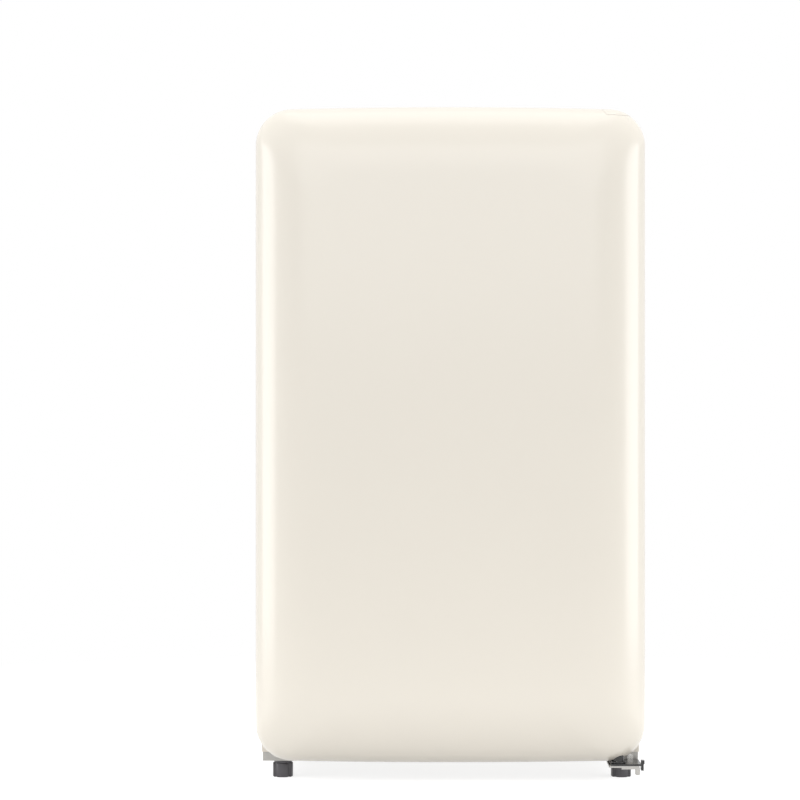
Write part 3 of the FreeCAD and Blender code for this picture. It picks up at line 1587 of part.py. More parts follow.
def build_lamp():
    """The LED board inside the housing and the clear lens outside it."""
    wall = s.control_wall
    y0, y1 = lamp_y - s.lamp_length / 2, lamp_y + s.lamp_length / 2
    z0, z1 = knob_z - s.lamp_height / 2, knob_z + s.lamp_height / 2
    lens = new_body("lamp_lens")
    pad(lens, "YZ", [rect(y0, y1, z0, z1, s.lens_corner)],
        control_x - s.lens_height, control_x)

    board = new_body("led_board")
    face, half = control_x + wall, s.led_half
    pad(board, "YZ", [rect(y0, y1, z0, z1)], face, face + s.board_sheet)
    leds = [rect(lamp_y - half, lamp_y + half, z - half, z + half)
            for z in (knob_z - s.led_pitch, knob_z, knob_z + s.led_pitch)]
    pad(board, "YZ", leds, control_x + s.led_gap, face)


def build_switch():
    """The lamp switch: its body behind the housing's front, and its plunger."""
    wall = s.control_wall
    back = control_front_y + wall
    body = new_body("switch_body")
    half = s.switch_half
    case = rect(plunger_x - half, plunger_x + half, plunger_z - half, plunger_z + half)
    pad(body, "XZ", [case], back, back + s.switch_depth)
    bore = disc(plunger_x, plunger_z, s.plunger_radius + s.plunger_gap)
    pocket(body, "XZ", [bore], back, back + s.switch_bore)

    plunger = new_body("switch_plunger")
    pad(plunger, "XZ", [disc(plunger_x, plunger_z, s.plunger_radius)],
        plunger_tip_y, plunger_tip_y + s.plunger_length)


# Refrigeration.

plate_top = cabinet_bottom + s.plate_sheet
legs_bottom = plate_top + s.grommet_height
legs_top = legs_bottom + s.leg_sheet
compressor_top = legs_top + s.compressor_height
plate_back_y = cabinet_back_y - s.base_setback
leg_spots = [(s.compressor_x + i * s.leg_x, compressor_y + j * s.leg_y)
             for i in (-1, 1) for j in (-1, 1)]
bolt_hole = s.bolt_radius + s.foam_gap
gland_x = half_width - s.gland_side
gland_z = plate_top + s.gland_rise


def build_compressor_plate():
    """The galvanised tray that carries the compressor, with its rear lip."""
    body = new_body("compressor_plate")
    side = bay_x - s.steel_sheet - s.foam_gap
    front = bay_front_y + s.plate_gap
    pad(body, "XY", [rect(-side, side, front, plate_back_y)], cabinet_bottom, plate_top)
    pad(body, "XZ", [rect(-side, side, plate_top, plate_top + s.plate_lip)],
        plate_back_y - s.plate_sheet, plate_back_y)
    pocket(body, "XY", [disc(x, y, bolt_hole) for x, y in leg_spots],
           cabinet_bottom, plate_top)
    hole = disc(gland_x, gland_z, s.gland_bore + s.gland_wall / 2)
    pocket(body, "XZ", [hole], plate_back_y - s.plate_sheet, plate_back_y)


def build_cord_gland():
    """The empty bushing where the mains lead enters, flanged on both sides."""
    body = new_body("cord_gland")
    head = s.gland_bore + s.gland_wall
    neck = s.gland_bore + s.gland_wall / 2 - s.foam_gap
    bore = disc(gland_x, gland_z, s.gland_bore)
    front = plate_back_y - s.plate_sheet
    pad(body, "XZ", [disc(gland_x, gland_z, head), bore], front - s.gland_head, front)
    pad(body, "XZ", [disc(gland_x, gland_z, neck), bore], front, plate_back_y)
    pad(body, "XZ", [disc(gland_x, gland_z, head), bore],
        plate_back_y, plate_back_y + s.gland_head)


def build_compressor():
    """The black welded compressor shell with its belt seam and domed top."""
    body = new_body("compressor")
    r, belt = s.compressor_radius, s.belt_rise
    seam = s.belt_level
    high = s.compressor_height
    revolve(body, [
        (0, 0), (r, 0, s.compressor_foot_round), (r, seam), (r + belt, seam),
        (r + belt, seam + s.belt_height), (r, seam + s.belt_height),
        (r, high, s.compressor_dome), (0, high),
    ])
    place(body, s.compressor_x, compressor_y, legs_top)


def build_compressor_mounting():
    """The legs, rubber grommets and bolts under the compressor."""
    legs = new_body("compressor_legs")
    x, y = s.compressor_x, compressor_y
    reach_x, reach_y = s.leg_x + s.leg_margin, s.leg_y + s.leg_margin
    outline = rect(x - reach_x, x + reach_x, y - reach_y, y + reach_y, s.leg_corner)
    pad(legs, "XY", [outline], legs_bottom, legs_top)
    pocket(legs, "XY", [disc(u, v, bolt_hole) for u, v in leg_spots], legs_bottom, legs_top)

    grommets = new_body("compressor_grommets")
    loops = []
    for u, v in leg_spots:
        loops += [disc(u, v, s.grommet_radius), disc(u, v, bolt_hole)]
    pad(grommets, "XY", loops, plate_top, legs_bottom)

    bolts = []
    wide = s.bolt_radius + s.bolt_head_margin
    nut_top = legs_top + s.nut_height
    for u, v in leg_spots:
        head = rod("Z", wide, cabinet_bottom - s.bolt_head, cabinet_bottom, u, v)
        shank = rod("Z", s.bolt_radius, cabinet_bottom, nut_top + s.bolt_tip, u, v)
        nut = rod("Z", wide, legs_top, nut_top, u, v)
        bolts.append(fuse([head, shank, nut]))
    piece(fuse(bolts), "compressor_bolts")


def build_terminal_box():
    """The terminal cover on the right side of the compressor."""
    x0 = s.compressor_x + s.compressor_radius - s.terminal_sink
    y0 = compressor_y - s.terminal_depth / 2
    z0 = legs_top + s.terminal_rise
    block = box(x0, x0 + s.terminal_width, y0, y0 + s.terminal_depth,
                z0, z0 + s.terminal_height)
    shell = rod("Z", s.compressor_radius + s.belt_rise + s.foam_gap, legs_top,
                compressor_top, s.compressor_x, compressor_y)
    piece(cut(block, [shell]), "terminal_box")


def build_drip_tray():
    """The evaporation tray on top of the compressor, and the drain that feeds it."""
    body = new_body("drip_tray")
    wall = s.drip_wall
    x0 = s.compressor_x - s.drip_width / 2
    y0 = compressor_y - s.drip_depth / 2
    x1, y1 = x0 + s.drip_width, y0 + s.drip_depth
    corner, rim = s.drip_corner, compressor_top + s.drip_height
    pad(body, "XY", [rect(x0, x1, y0, y1, corner)], compressor_top, rim)
    inside = rect(x0 + wall, x1 - wall, y0 + wall, y1 - wall, corner - wall)
    pocket(body, "XY", [inside], compressor_top + wall, rim)

    drain = new_body("drain_tube")
    low = compressor_top + s.drip_height / 2
    bore = disc(s.compressor_x, compressor_y, s.drain_radius - s.drain_wall)
    pad(drain, "XY", [disc(s.compressor_x, compressor_y, s.drain_radius), bore], low, hump_top)
    flange = disc(s.compressor_x, compressor_y, s.drain_radius + s.drain_flange)
    pad(drain, "XY", [flange, bore], hump_top, hump_top + s.drain_wall)


condenser_y = cabinet_back_y + s.condenser_stand
condenser_half = half_width - s.condenser_side
condenser_bottom = bay_top + s.condenser_rise
condenser_top = cabinet_top - s.condenser_drop
condenser_pitch = (condenser_top - condenser_bottom) / (s.condenser_runs - 1)
wire_pitch = (condenser_half - s.wire_inset) * 2 / (s.wire_count - 1)
riser_x = half_width - s.riser_side
drier_x = s.drier_side - half_width
drier_y = cabinet_back_y - s.drier_inset
shell_x = s.compressor_x - s.compressor_radius - s.pipe_gap
riser_foot_z = bay_top - s.riser_drop
drier_bottom = legs_top + s.drier_rise
drier_top = drier_bottom + s.drier_length


def condenser_points():
    """The flat route of the condenser tube: its riser, then the runs down the back."""
    left, right, y = -condenser_half, condenser_half, condenser_y
    z = condenser_top
    points = [vector(-riser_x, y, riser_foot_z), vector(-riser_x, y, z)]
    side = right
    runs = int(s.condenser_runs.value)
    for _ in range(runs - 1):
        points.append(vector(side, y, z))
        z = z - condenser_pitch
        points.append(vector(side, y, z))
        side = left if side is right else right
    points.append(vector(drier_x, y, z))
    points.append(vector(drier_x, y, riser_foot_z))
    return points


def build_condenser():
    """The black tube and upright wires on the back, and the brackets that hold them."""
    bend = (condenser_pitch - s.condenser_straight) / 2
    feature(pipe(condenser_points(), s.condenser_tube, bend), "condenser_tube")

    wires = []
    count = int(s.wire_count.value)
    y = condenser_y + s.condenser_tube + s.wire_radius + s.pipe_gap
    for i in range(count):
        x = wire_pitch * (i - (count - 1) / 2)
        wires.append(rod("Z", s.wire_radius, condenser_bottom - s.wire_overhang,
                         condenser_top + s.wire_overhang, x, y))
    piece(fuse(wires), "condenser_wires")

    blocks = []
    x = wire_pitch * s.bracket_run
    half = s.bracket_width / 2
    tall = s.bracket_height / 2
    for centre in (-x, x):
        for z in (condenser_bottom + condenser_pitch, condenser_top - condenser_pitch):
            block = box(centre - half, centre + half, cabinet_back_y, rear_y,
                        z - tall, z + tall)
            clip = rod("X", s.condenser_tube + s.pipe_gap, centre - half - s.reach_past,
                       centre + half + s.reach_past, condenser_y, z)
            blocks.append(cut(block, [clip]))
    piece(fuse(blocks), "condenser_brackets")


def build_filter_drier():
    """The copper filter drier, upright in the compressor bay."""
    body = new_body("filter_drier")
    r, long = s.drier_radius, s.drier_length
    neck, low, shoulder = s.drier_neck, s.drier_neck_length, s.drier_shoulder
    revolve(body, [(0, 0), (neck, 0), (neck, low), (r, low, shoulder),
                   (r, long - low, shoulder), (neck, long - low), (neck, long), (0, long)])
    place(body, drier_x, drier_y, drier_bottom)


def build_refrigerant_pipes():
    """Four pipes: discharge, liquid line, suction, and the capillary beside it."""
    gap = s.pipe_gap
    rise = legs_top + s.discharge_rise
    discharge = [
        vector(shell_x, compressor_y, rise),
        vector(-riser_x, compressor_y, rise),
        vector(-riser_x, condenser_y, rise),
        vector(-riser_x, condenser_y, riser_foot_z - gap),
    ]
    elbow = bay_top - s.elbow_drop
    liquid = [
        vector(drier_x, condenser_y, riser_foot_z - gap),
        vector(drier_x, condenser_y, elbow),
        vector(drier_x, drier_y, elbow),
        vector(drier_x, drier_y, drier_top + gap),
    ]
    start = legs_top + s.suction_start
    suction = [
        vector(shell_x, compressor_y, start),
        vector(s.suction_x, compressor_y, start),
        vector(s.suction_x, suction_y, start),
        vector(s.suction_x, suction_y, suction_z),
        vector(s.suction_x, ice_back_y + gap, suction_z),
    ]
    lane = s.suction_x - s.suction_radius - s.capillary_radius - gap
    floor = drier_bottom - s.capillary_drop
    capillary = [
        vector(drier_x, drier_y, drier_bottom - gap),
        vector(drier_x, drier_y, floor),
        vector(lane, drier_y, floor),
        vector(lane, suction_y, floor),
        vector(lane, suction_y, suction_z),
        vector(lane, ice_back_y + gap, suction_z),
    ]
    pipes = [
        pipe(discharge, s.condenser_tube, s.pipe_bend),
        pipe(liquid, s.condenser_tube, s.pipe_bend),
        pipe(suction, s.suction_radius, s.pipe_bend),
        pipe(capillary, s.capillary_radius, s.capillary_bend),
    ]
    feature(Part.makeCompound(pipes), "refrigerant_pipes")


# Build, check and write.


def build_all():
    """Builds every sub-part."""
    build_outer_shell()
    build_back_panel()
    build_bottom_panel()
    build_front_cross_rail()
    build_bay_panel()
    build_inner_liner()
    build_cabinet_foam()
    build_base_frame()
    build_front_foot("foot_left", left_foot_x)
    build_front_foot("foot_right", right_foot_x)
    build_rear_feet()
    build_door_skin()
    build_door_foam()
    build_door_liner()
    build_door_gasket()
    build_gasket_magnets()
    build_rack("bottle_rack", rack_floors[0], s.bottle_rack_height)
    build_rack("door_rack_middle", rack_floors[1], s.rack_middle_height)
    build_rack("door_rack_top", rack_floors[2], s.rack_top_height)
    build_door_grip()
    build_hinge_bushings()
    build_top_hinge_plate()
    build_top_hinge_cover()
    build_top_hinge_cap()
    build_lower_hinge_bracket()
    build_lower_hinge_pin()
    build_hinge_glide()
    build_hinge_screws()
    build_ice_box()
    build_ice_box_hangers()
    build_ice_box_frame()
    build_freezer_flap()
    build_chill_tray()
    build_glass("shelf_upper", upper_shelf_z)
    build_glass("shelf_lower", lower_shelf_z)
    build_glass("crisper_cover", cover_shelf_z)
    build_shelf_trims()
    build_crisper_drawer()
    build_thermostat_housing()
    build_thermostat_body()
    build_thermostat_knob()
    build_lamp()
    build_switch()
    build_compressor_plate()
    build_cord_gland()
    build_compressor()
    build_compressor_mounting()
    build_terminal_box()
    build_drip_tray()
    build_condenser()
    build_filter_drier()
    build_refrigerant_pipes()


def check_document():
    """Stops the build where any object failed or any sub-part's shape is unsound."""
    doc.recompute()
    for item in doc.Objects:
        if "Invalid" in item.State or "Error" in item.State:
            raise RuntimeError(f"{item.Label} failed: {item.State}")
    for name, item in pieces.items():
        if item.Shape.isNull() or not item.Shape.isValid() or item.Shape.Volume <= 0:
            raise RuntimeError(f"{name} has no sound shape")


def write_parts():
    """Writes each sub-part to parts/NODE.step."""
    os.makedirs("parts", exist_ok=True)
    for name, item in pieces.items():
        item.Shape.exportStep(os.path.join("parts", name + ".step"))


build_all()
check_document()
write_parts()
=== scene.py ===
import math

import bmesh
import bpy
from mathutils import Matrix, Vector


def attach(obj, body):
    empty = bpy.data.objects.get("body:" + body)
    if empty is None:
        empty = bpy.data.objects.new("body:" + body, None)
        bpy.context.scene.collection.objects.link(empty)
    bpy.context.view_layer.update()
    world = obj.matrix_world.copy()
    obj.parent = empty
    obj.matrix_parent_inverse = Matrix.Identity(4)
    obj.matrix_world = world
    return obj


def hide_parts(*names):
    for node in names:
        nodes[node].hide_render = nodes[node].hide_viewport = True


# A single-door mini fridge with its door, drawer, flap and knob on their joints.
# Lengths are written in millimetres and multiplied by mm, except in the studio.

mm = 0.001
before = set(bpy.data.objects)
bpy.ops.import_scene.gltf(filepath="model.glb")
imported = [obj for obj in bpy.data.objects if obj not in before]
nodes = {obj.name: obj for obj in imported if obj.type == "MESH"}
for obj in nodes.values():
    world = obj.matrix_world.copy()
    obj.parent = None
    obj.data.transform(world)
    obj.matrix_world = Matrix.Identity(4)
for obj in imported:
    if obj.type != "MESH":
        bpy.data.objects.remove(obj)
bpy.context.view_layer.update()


# --- Base frame -------------------------------------------------------------------------
# A ring of folded galvanised steel under the cabinet. Its sheet is dipped in zinc before
# it is folded, so it has flat grey crystals, and it is spot welded at the corners. Its grey
# is painted darker than bare zinc: painted shade for the shade under the door.

def group(name, inputs, outputs):
    """A shader node group with named sockets, and its two end nodes."""
    tree = bpy.data.node_groups.new(name, "ShaderNodeTree")
    for label, kind, value in inputs:
        socket = tree.interface.new_socket(name=label, in_out="INPUT", socket_type=kind)
        socket.default_value = value
    for label, kind in outputs:
        tree.interface.new_socket(name=label, in_out="OUTPUT", socket_type=kind)
    start = tree.nodes.new("NodeGroupInput")
    end = tree.nodes.new("NodeGroupOutput")
    return tree, start, end


def add(tree, kind, values=(), **settings):
    """A node with its settings, and its unlinked sockets set by name or number."""
    node = tree.nodes.new(kind)
    for key, value in settings.items():
        setattr(node, key, value)
    for socket, value in dict(values).items():
        node.inputs[socket].default_value = value
    return node


def wire(tree, *pairs):
    """Links of one node tree, each from an output socket to an input socket."""
    for source, target in pairs:
        tree.links.new(source, target)


def make_drift():
    """Slow changes of brightness over a surface, as in any painted or moulded part.

    Colour comes out darkened by up to the amount; the mask follows the same clouds."""
    tree, start, end = group("tone_drift", [
        ("Color", "NodeSocketColor", (1, 1, 1, 1)), ("Amount", "NodeSocketFloat", 0.03),
        ("Scale", "NodeSocketFloat", 6.0),
    ], [("Color", "NodeSocketColor"), ("Mask", "NodeSocketFloat")])
    place = add(tree, "ShaderNodeTexCoord")
    noise = add(tree, "ShaderNodeTexNoise", {"Detail": 3.0, "Roughness": 0.55})
    spread = add(tree, "ShaderNodeMapRange", {"From Min": 0.3, "From Max": 0.7})
    lower = add(tree, "ShaderNodeMath", {0: 1.0}, operation="SUBTRACT")
    mix = add(tree, "ShaderNodeMapRange")
    shade = add(tree, "ShaderNodeVectorMath", operation="SCALE")
    wire(tree,
         (place.outputs["Object"], noise.inputs["Vector"]),
         (start.outputs["Scale"], noise.inputs["Scale"]),
         (noise.outputs["Fac"], spread.inputs["Value"]),
         (start.outputs["Amount"], lower.inputs[1]),
         (spread.outputs["Result"], mix.inputs["Value"]),
         (lower.outputs[0], mix.inputs["To Min"]),
         (start.outputs["Color"], shade.inputs[0]),
         (mix.outputs["Result"], shade.inputs["Scale"]),
         (shade.outputs[0], end.inputs["Color"]),
         (spread.outputs["Result"], end.inputs["Mask"]))
    return tree


def make_grain():
    """A fine height for a Bump node: orange peel, moulding grain or rolled sheet."""
    tree, start, end = group("fine_grain", [
        ("Scale", "NodeSocketFloat", 900.0), ("Stretch", "NodeSocketVector", (1, 1, 1)),
    ], [("Height", "NodeSocketFloat")])
    place = add(tree, "ShaderNodeTexCoord")
    stretch = add(tree, "ShaderNodeVectorMath", operation="MULTIPLY")
    noise = add(tree, "ShaderNodeTexNoise", {"Detail": 2.0, "Roughness": 0.5})
    wire(tree,
         (place.outputs["Object"], stretch.inputs[0]),
         (start.outputs["Stretch"], stretch.inputs[1]),
         (stretch.outputs[0], noise.inputs["Vector"]),
         (start.outputs["Scale"], noise.inputs["Scale"]),
         (noise.outputs["Fac"], end.inputs["Height"]))
    return tree


def make_edges():
    """A mask that is bright on outside edges, where handling rubs a finish."""
    tree, start, end = group("rubbed_edge", [
        ("Radius", "NodeSocketFloat", 0.0012), ("Breakup", "NodeSocketFloat", 60.0),
    ], [("Mask", "NodeSocketFloat")])
    place = add(tree, "ShaderNodeTexCoord")
    round_ = add(tree, "ShaderNodeBevel", samples=4)
    flat = add(tree, "ShaderNodeNewGeometry")
    dot = add(tree, "ShaderNodeVectorMath", operation="DOT_PRODUCT")
    edge = add(tree, "ShaderNodeMapRange", {"From Min": 0.995, "From Max": 0.86})
    noise = add(tree, "ShaderNodeTexNoise", {"Detail": 3.0})
    patch = add(tree, "ShaderNodeMapRange", {"From Min": 0.42, "From Max": 0.6})
    both = add(tree, "ShaderNodeMath", operation="MULTIPLY")
    wire(tree,
         (start.outputs["Radius"], round_.inputs["Radius"]),
         (round_.outputs[0], dot.inputs[0]),
         (flat.outputs["Normal"], dot.inputs[1]),
         (dot.outputs["Value"], edge.inputs["Value"]),
         (place.outputs["Object"], noise.inputs["Vector"]),
         (start.outputs["Breakup"], noise.inputs["Scale"]),
         (noise.outputs["Fac"], patch.inputs["Value"]),
         (edge.outputs["Result"], both.inputs[0]),
         (patch.outputs["Result"], both.inputs[1]),
         (both.outputs[0], end.inputs["Mask"]))
    return tree


tone_drift = make_drift()
fine_grain = make_grain()
rubbed_edge = make_edges()


def place_group(tree, shared, **values):
    """Puts a shared effect into a material with this material's own values."""
    node = tree.nodes.new("ShaderNodeGroup")
    node.node_tree = shared
    for key, value in values.items():
        node.inputs[key].default_value = value
    return node


def finish_of(name, colour, rough, drift=0.04, drift_scale=6.0, rough_swing=0.05,
              grain=None, grain_depth=0.1, stretch=(1, 1, 1), worn=None, **plain):
    """A material: drifting colour and roughness, fine relief and, if given, worn edges.

    rough is the middle roughness; grain is the relief's scale and grain_depth its height
    in tenths of a millimetre; worn is (colour, metallic) of what shows through at edges.
    plain holds what is the same all over, set on the shader's own sockets."""
    material = bpy.data.materials.new(name)
    material.use_nodes = True
    tree = material.node_tree
    shader = tree.nodes["Principled BSDF"]
    for key, value in plain.items():
        shader.inputs[key.replace("_", " ")].default_value = value
    tone = place_group(tree, tone_drift, Color=(*colour, 1), Amount=drift,
                       Scale=drift_scale)
    matt = add(tree, "ShaderNodeMapRange",
               {"To Min": rough - rough_swing, "To Max": rough + rough_swing})
    wire(tree, (tone.outputs["Mask"], matt.inputs["Value"]),
         (matt.outputs["Result"], shader.inputs["Roughness"]))
    if worn:
        edge = place_group(tree, rubbed_edge)
        mix = add(tree, "ShaderNodeMix", data_type="RGBA")
        mix.inputs["B"].default_value = (*worn[0], 1)
        wire(tree, (edge.outputs["Mask"], mix.inputs["Factor"]),
             (tone.outputs["Color"], mix.inputs["A"]),
             (mix.outputs["Result"], shader.inputs["Base Color"]))
        metal = add(tree, "ShaderNodeMapRange",
                    {"To Min": plain["Metallic"], "To Max": worn[1]})
        wire(tree, (edge.outputs["Mask"], metal.inputs["Value"]),
             (metal.outputs["Result"], shader.inputs["Metallic"]))
    else:
        wire(tree, (tone.outputs["Color"], shader.inputs["Base Color"]))
    if grain:
        relief = place_group(tree, fine_grain, Scale=grain, Stretch=stretch)
        bump = add(tree, "ShaderNodeBump", {"Strength": 1.0, "Distance": grain_depth * 1e-4})
        wire(tree, (relief.outputs["Height"], bump.inputs["Height"]),
             (bump.outputs["Normal"], shader.inputs["Normal"]))
    return material


def galvanised():
    """Zinc-dipped sheet: grey with crystals, each with its own gloss and its own lean.

    The crystals' gloss takes the place of the even one. Its grey, and the grey at worn
    edges, are darker than bare zinc: painted shade for the shade it sits in under the door."""
    # The base and worn colours are zinc grey with painted shade darkening them.
    material = finish_of("galvanised_sheet_shaded", (0.42, 0.41, 0.39), 0.42, drift=0.1,
                         drift_scale=9.0, worn=((0.42, 0.41, 0.4), 0.85), Metallic=0.85)
    tree = material.node_tree
    shader = tree.nodes["Principled BSDF"]
    place = add(tree, "ShaderNodeTexCoord")
    crystal = add(tree, "ShaderNodeTexVoronoi", {"Scale": 85.0}, feature="F1")
    split = add(tree, "ShaderNodeSeparateColor")
    gloss = add(tree, "ShaderNodeMapRange", {"To Min": 0.34, "To Max": 0.52})
    lean = add(tree, "ShaderNodeBump", {"Strength": 0.12, "Distance": 0.0002})
    wire(tree,
         (place.outputs["Object"], crystal.inputs["Vector"]),
         (crystal.outputs["Color"], split.inputs["Color"]),
         (split.outputs["Red"], gloss.inputs["Value"]),
         (gloss.outputs["Result"], shader.inputs["Roughness"]),
         (split.outputs["Green"], lean.inputs["Height"]),
         (lean.outputs["Normal"], shader.inputs["Normal"]))
    return material


def dress(node, material):
    """Gives a carried-over part its finish."""
    part = nodes[node]
    part.data.materials.clear()
    part.data.materials.append(material)


# This sheet finish is darkened as painted shade for the shade under the door, on top of zinc
# grey.
zinc_sheet_in_shade = galvanised()
dress("base_frame", zinc_sheet_in_shade)


# --- Feet -------------------------------------------------------------------------------
# Two black levelling feet at the front screw into the frame, each with four finger
# grooves. Two plain rubber-tipped feet at the rear are pushed onto fixed studs.

def new_piece(name, bm, material, smooth=30):
    """A mesh object from a bmesh, smooth except across edges sharper than the angle."""
    mesh = bpy.data.meshes.new(name)
    bm.to_mesh(mesh)
    bm.free()
    mesh.materials.append(material)
    mesh.polygons.foreach_set("use_smooth", [True] * len(mesh.polygons))
    mesh.set_sharp_from_angle(angle=math.radians(smooth))
    item = bpy.data.objects.new(name, mesh)
    bpy.context.scene.collection.objects.link(item)
    return item


def flat_ring(loop, at, axis="Y"):
    """The points of a loop, set across an axis at a distance along it."""
    spots = {"X": lambda u, v: (at, u, v), "Y": lambda u, v: (u, at, v),
             "Z": lambda u, v: (u, v, at)}
    return [Vector(spots[axis](u, v)) * mm for u, v in loop]


def skin_over(bm, rings, wrap=False, caps=()):
    """Joins rings of as many points with faces; caps close the first (0) or last (-1)."""
    loops = [[bm.verts.new(p) for p in ring] for ring in rings]
    faces = []
    for low, high in zip(loops, loops[1:] + loops[:1] if wrap else loops[1:]):
        for i in range(len(low)):
            j = (i + 1) % len(low)
            faces.append(bm.faces.new((low[i], low[j], high[j], high[i])))
    for end in caps:
        faces.append(bm.faces.new(loops[end]))
    bmesh.ops.recalc_face_normals(bm, faces=faces)


foot_plastic = finish_of("foot_plastic", (0.08, 0.075, 0.085), 0.34, drift=0.15,
                         grain=1400, grain_depth=0.2, IOR=1.6)
foot_rubber = finish_of("foot_rubber", (0.018, 0.018, 0.018), 0.62, drift=0.25,
                        grain=900, grain_depth=0.5)
foot_spots = (("left", -210, -155), ("right", 214, -155))
foot_points = 180
foot_flat, groove_half, groove_deep = 0.35, 13, 2.8
thread_points = 24
thread_radius, thread_deep, thread_pitch = 4, 0.65, 1.25
thread_steps = 4
stud_low, stud_high = 20.5, 48.5


def grip_ring(x, y, z, radius, grip):
    """A ring of the foot: four flattened sides and, between them, four grooves.

    groove_half is half a groove's width in degrees, and grip is how deep it is here."""
    loop = []
    for i in range(foot_points):
        turn = 360 * i / foot_points
        off = (turn % 90 - 45) / groove_half
        groove = groove_deep * math.sqrt(1 - off * off) if abs(off) < 1 else 0
        flat = foot_flat * math.cos(math.radians(2 * turn)) ** 2
        r = radius - grip * (flat + groove)
        loop.append((x + r * math.cos(math.radians(turn)),
                     y + r * math.sin(math.radians(turn))))
    return flat_ring(loop, z, "Z")


def thread_ring(x, y, z):
    """A ring of the stud, cut by the screw thread that winds up it."""
    loop = []
    for i in range(thread_points):
        wind = (z / thread_pitch - i / thread_points) % 1
        r = thread_radius - thread_deep * abs(2 * wind - 1)
        turn = math.radians(360 * i / thread_points)
        loop.append((x + r * math.cos(turn), y + r * math.sin(turn)))
    return flat_ring(loop, z, "Z")


# Each ring of a foot as its height, its radius and how much of the grip it shows.
foot_course = ((0, 11.9, 0.9), (0.4, 12.6, 1), (1.2, 13, 1), (16.6, 13, 1),
               (17.5, 12.6, 0.9), (18, 11.7, 0.5), (18, 11, 0), (21, 11, 0), (21.5, 10.4, 0))
stud_rings = int((stud_high - stud_low) / thread_pitch * thread_steps)
stud_heights = [stud_low + (stud_high - stud_low) * i / stud_rings
                for i in range(stud_rings + 1)]
for side, x, y in foot_spots:
    foot = bmesh.new()
    skin_over(foot, [grip_ring(x, y, *step) for step in foot_course], caps=(0, -1))
    skin_over(foot, [thread_ring(x, y, z) for z in stud_heights], caps=(0, -1))
    foot_piece = new_piece(f"levelling_foot_{side}", foot, foot_plastic)
    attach(foot_piece, f"{side}_foot")
    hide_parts(f"foot_{side}")
dress("rear_feet", foot_rubber)


# --- Cabinet shell ----------------------------------------------------------------------
# The sides and top are one sheet of steel bent round the cabinet, enamelled cream before
# bending. The back is a second painted sheet, held by the foam that joins them.

def block(bm, x0, x1, y0, y1, z0, z1):
    """Adds a box between two corners."""
    size = Matrix.Diagonal(Vector((x1 - x0, y1 - y0, z1 - z0, 1000)) * mm)
    place = Matrix.Translation(Vector((x0 + x1, y0 + y1, z0 + z1)) * mm / 2)
    bmesh.ops.create_cube(bm, size=1, matrix=place @ size)


def soft_block(bm, x0, x1, y0, y1, z0, z1, radius, segments=4):
    """Adds a box whose edges and corners are rounded."""
    own = bmesh.new()
    block(own, x0, x1, y0, y1, z0, z1)
    bmesh.ops.bevel(own, geom=own.edges[:], offset=radius * mm, segments=segments,
                    profile=0.5, affect="EDGES", clamp_overlap=True)
    part = bpy.data.meshes.new("part")
    own.to_mesh(part)
    own.free()
    bm.from_mesh(part)
    bpy.data.meshes.remove(part)


def round_loop(u0, u1, v0, v1, radius, steps=10):
    """A rounded rectangle as points in order round it."""
    loop = []
    for cu, cv, start in ((u1 - radius, v0 + radius, -90), (u1 - radius, v1 - radius, 0),
                          (u0 + radius, v1 - radius, 90), (u0 + radius, v0 + radius, 180)):
        for i in range(steps + 1):
            a = math.radians(start + 90 * i / steps)
            loop.append((cu + radius * math.cos(a), cv + radius * math.sin(a)))
    return loop


def arc(u, v, radius, start, end):
    """Points of an arc round (u, v) between two angles in degrees, in five steps."""
    turn = [math.radians(start + (end - start) * i / 5) for i in range(6)]
    return [(u + radius * math.cos(a), v + radius * math.sin(a)) for a in turn]


def combine(item, tools, operation="DIFFERENCE"):
    """Cuts tool meshes out of a piece, or joins them to it, and removes the tools."""
    for tool in tools:
        step = item.modifiers.new("cut", "BOOLEAN")
        step.object = tool
        step.operation = operation
        step.solver = "EXACT"
    graph = bpy.context.evaluated_depsgraph_get()
    mesh = bpy.data.meshes.new_from_object(item.evaluated_get(graph))
    item.modifiers.clear()
    old = item.data
    item.data = mesh
    bpy.data.meshes.remove(old)
    for tool in tools:
        bpy.data.objects.remove(tool)
    mesh.polygons.foreach_set("use_smooth", [True] * len(mesh.polygons))
    mesh.set_sharp_from_angle(angle=math.radians(30))


def tool_of(build, *sizes):
    """A temporary mesh for combine, built by a function from its sizes."""
    bm = bmesh.new()
    build(bm, *sizes)
    return new_piece("tool", bm, zinc_sheet_in_shade)


cream = (0.836, 0.787, 0.699)
enamel = finish_of("cream_enamel", cream, 0.34, drift=0.012, drift_scale=3.0,
                   rough_swing=0.02, grain=420, grain_depth=0.05,
                   Coat_Weight=0.7, Coat_Roughness=0.16, Coat_IOR=1.5)
dress("outer_shell", enamel)
dress("back_panel", enamel)

panel_back = 226
bead_half, bead_wide, bead_rise = 150, 16, 2
bead_rows = (270, 362, 454, 546, 638, 730)
column_inner, column_outer, column_low, column_high = 206, 216, 290, 740
back_screw_rows, back_screw_x = (234, 380, 526, 672, 772), 226
back_screw_columns, back_screw_low, back_screw_high = (-120, 0, 120), 230, 810
screw_radius, screw_points, cross_wide = 3.4, 24, 0.8


def pressed_bead(bm, x0, x1, z0, z1):
    """Adds a long stiffening bead with soft shoulders, pressed out of the back sheet."""
    radius = min(x1 - x0, z1 - z0) / 2 - 0.1
    swell = [(0, -0.3), (0.6, 0.1), (2, bead_rise * 0.45), (3.6, bead_rise * 0.85),
             (5.2, bead_rise)]
    skin_over(bm, [flat_ring(round_loop(x0 + i, x1 - i, z0 + i, z1 - i, radius - i, 8),
                             panel_back + y) for i, y in swell], caps=(0, -1))


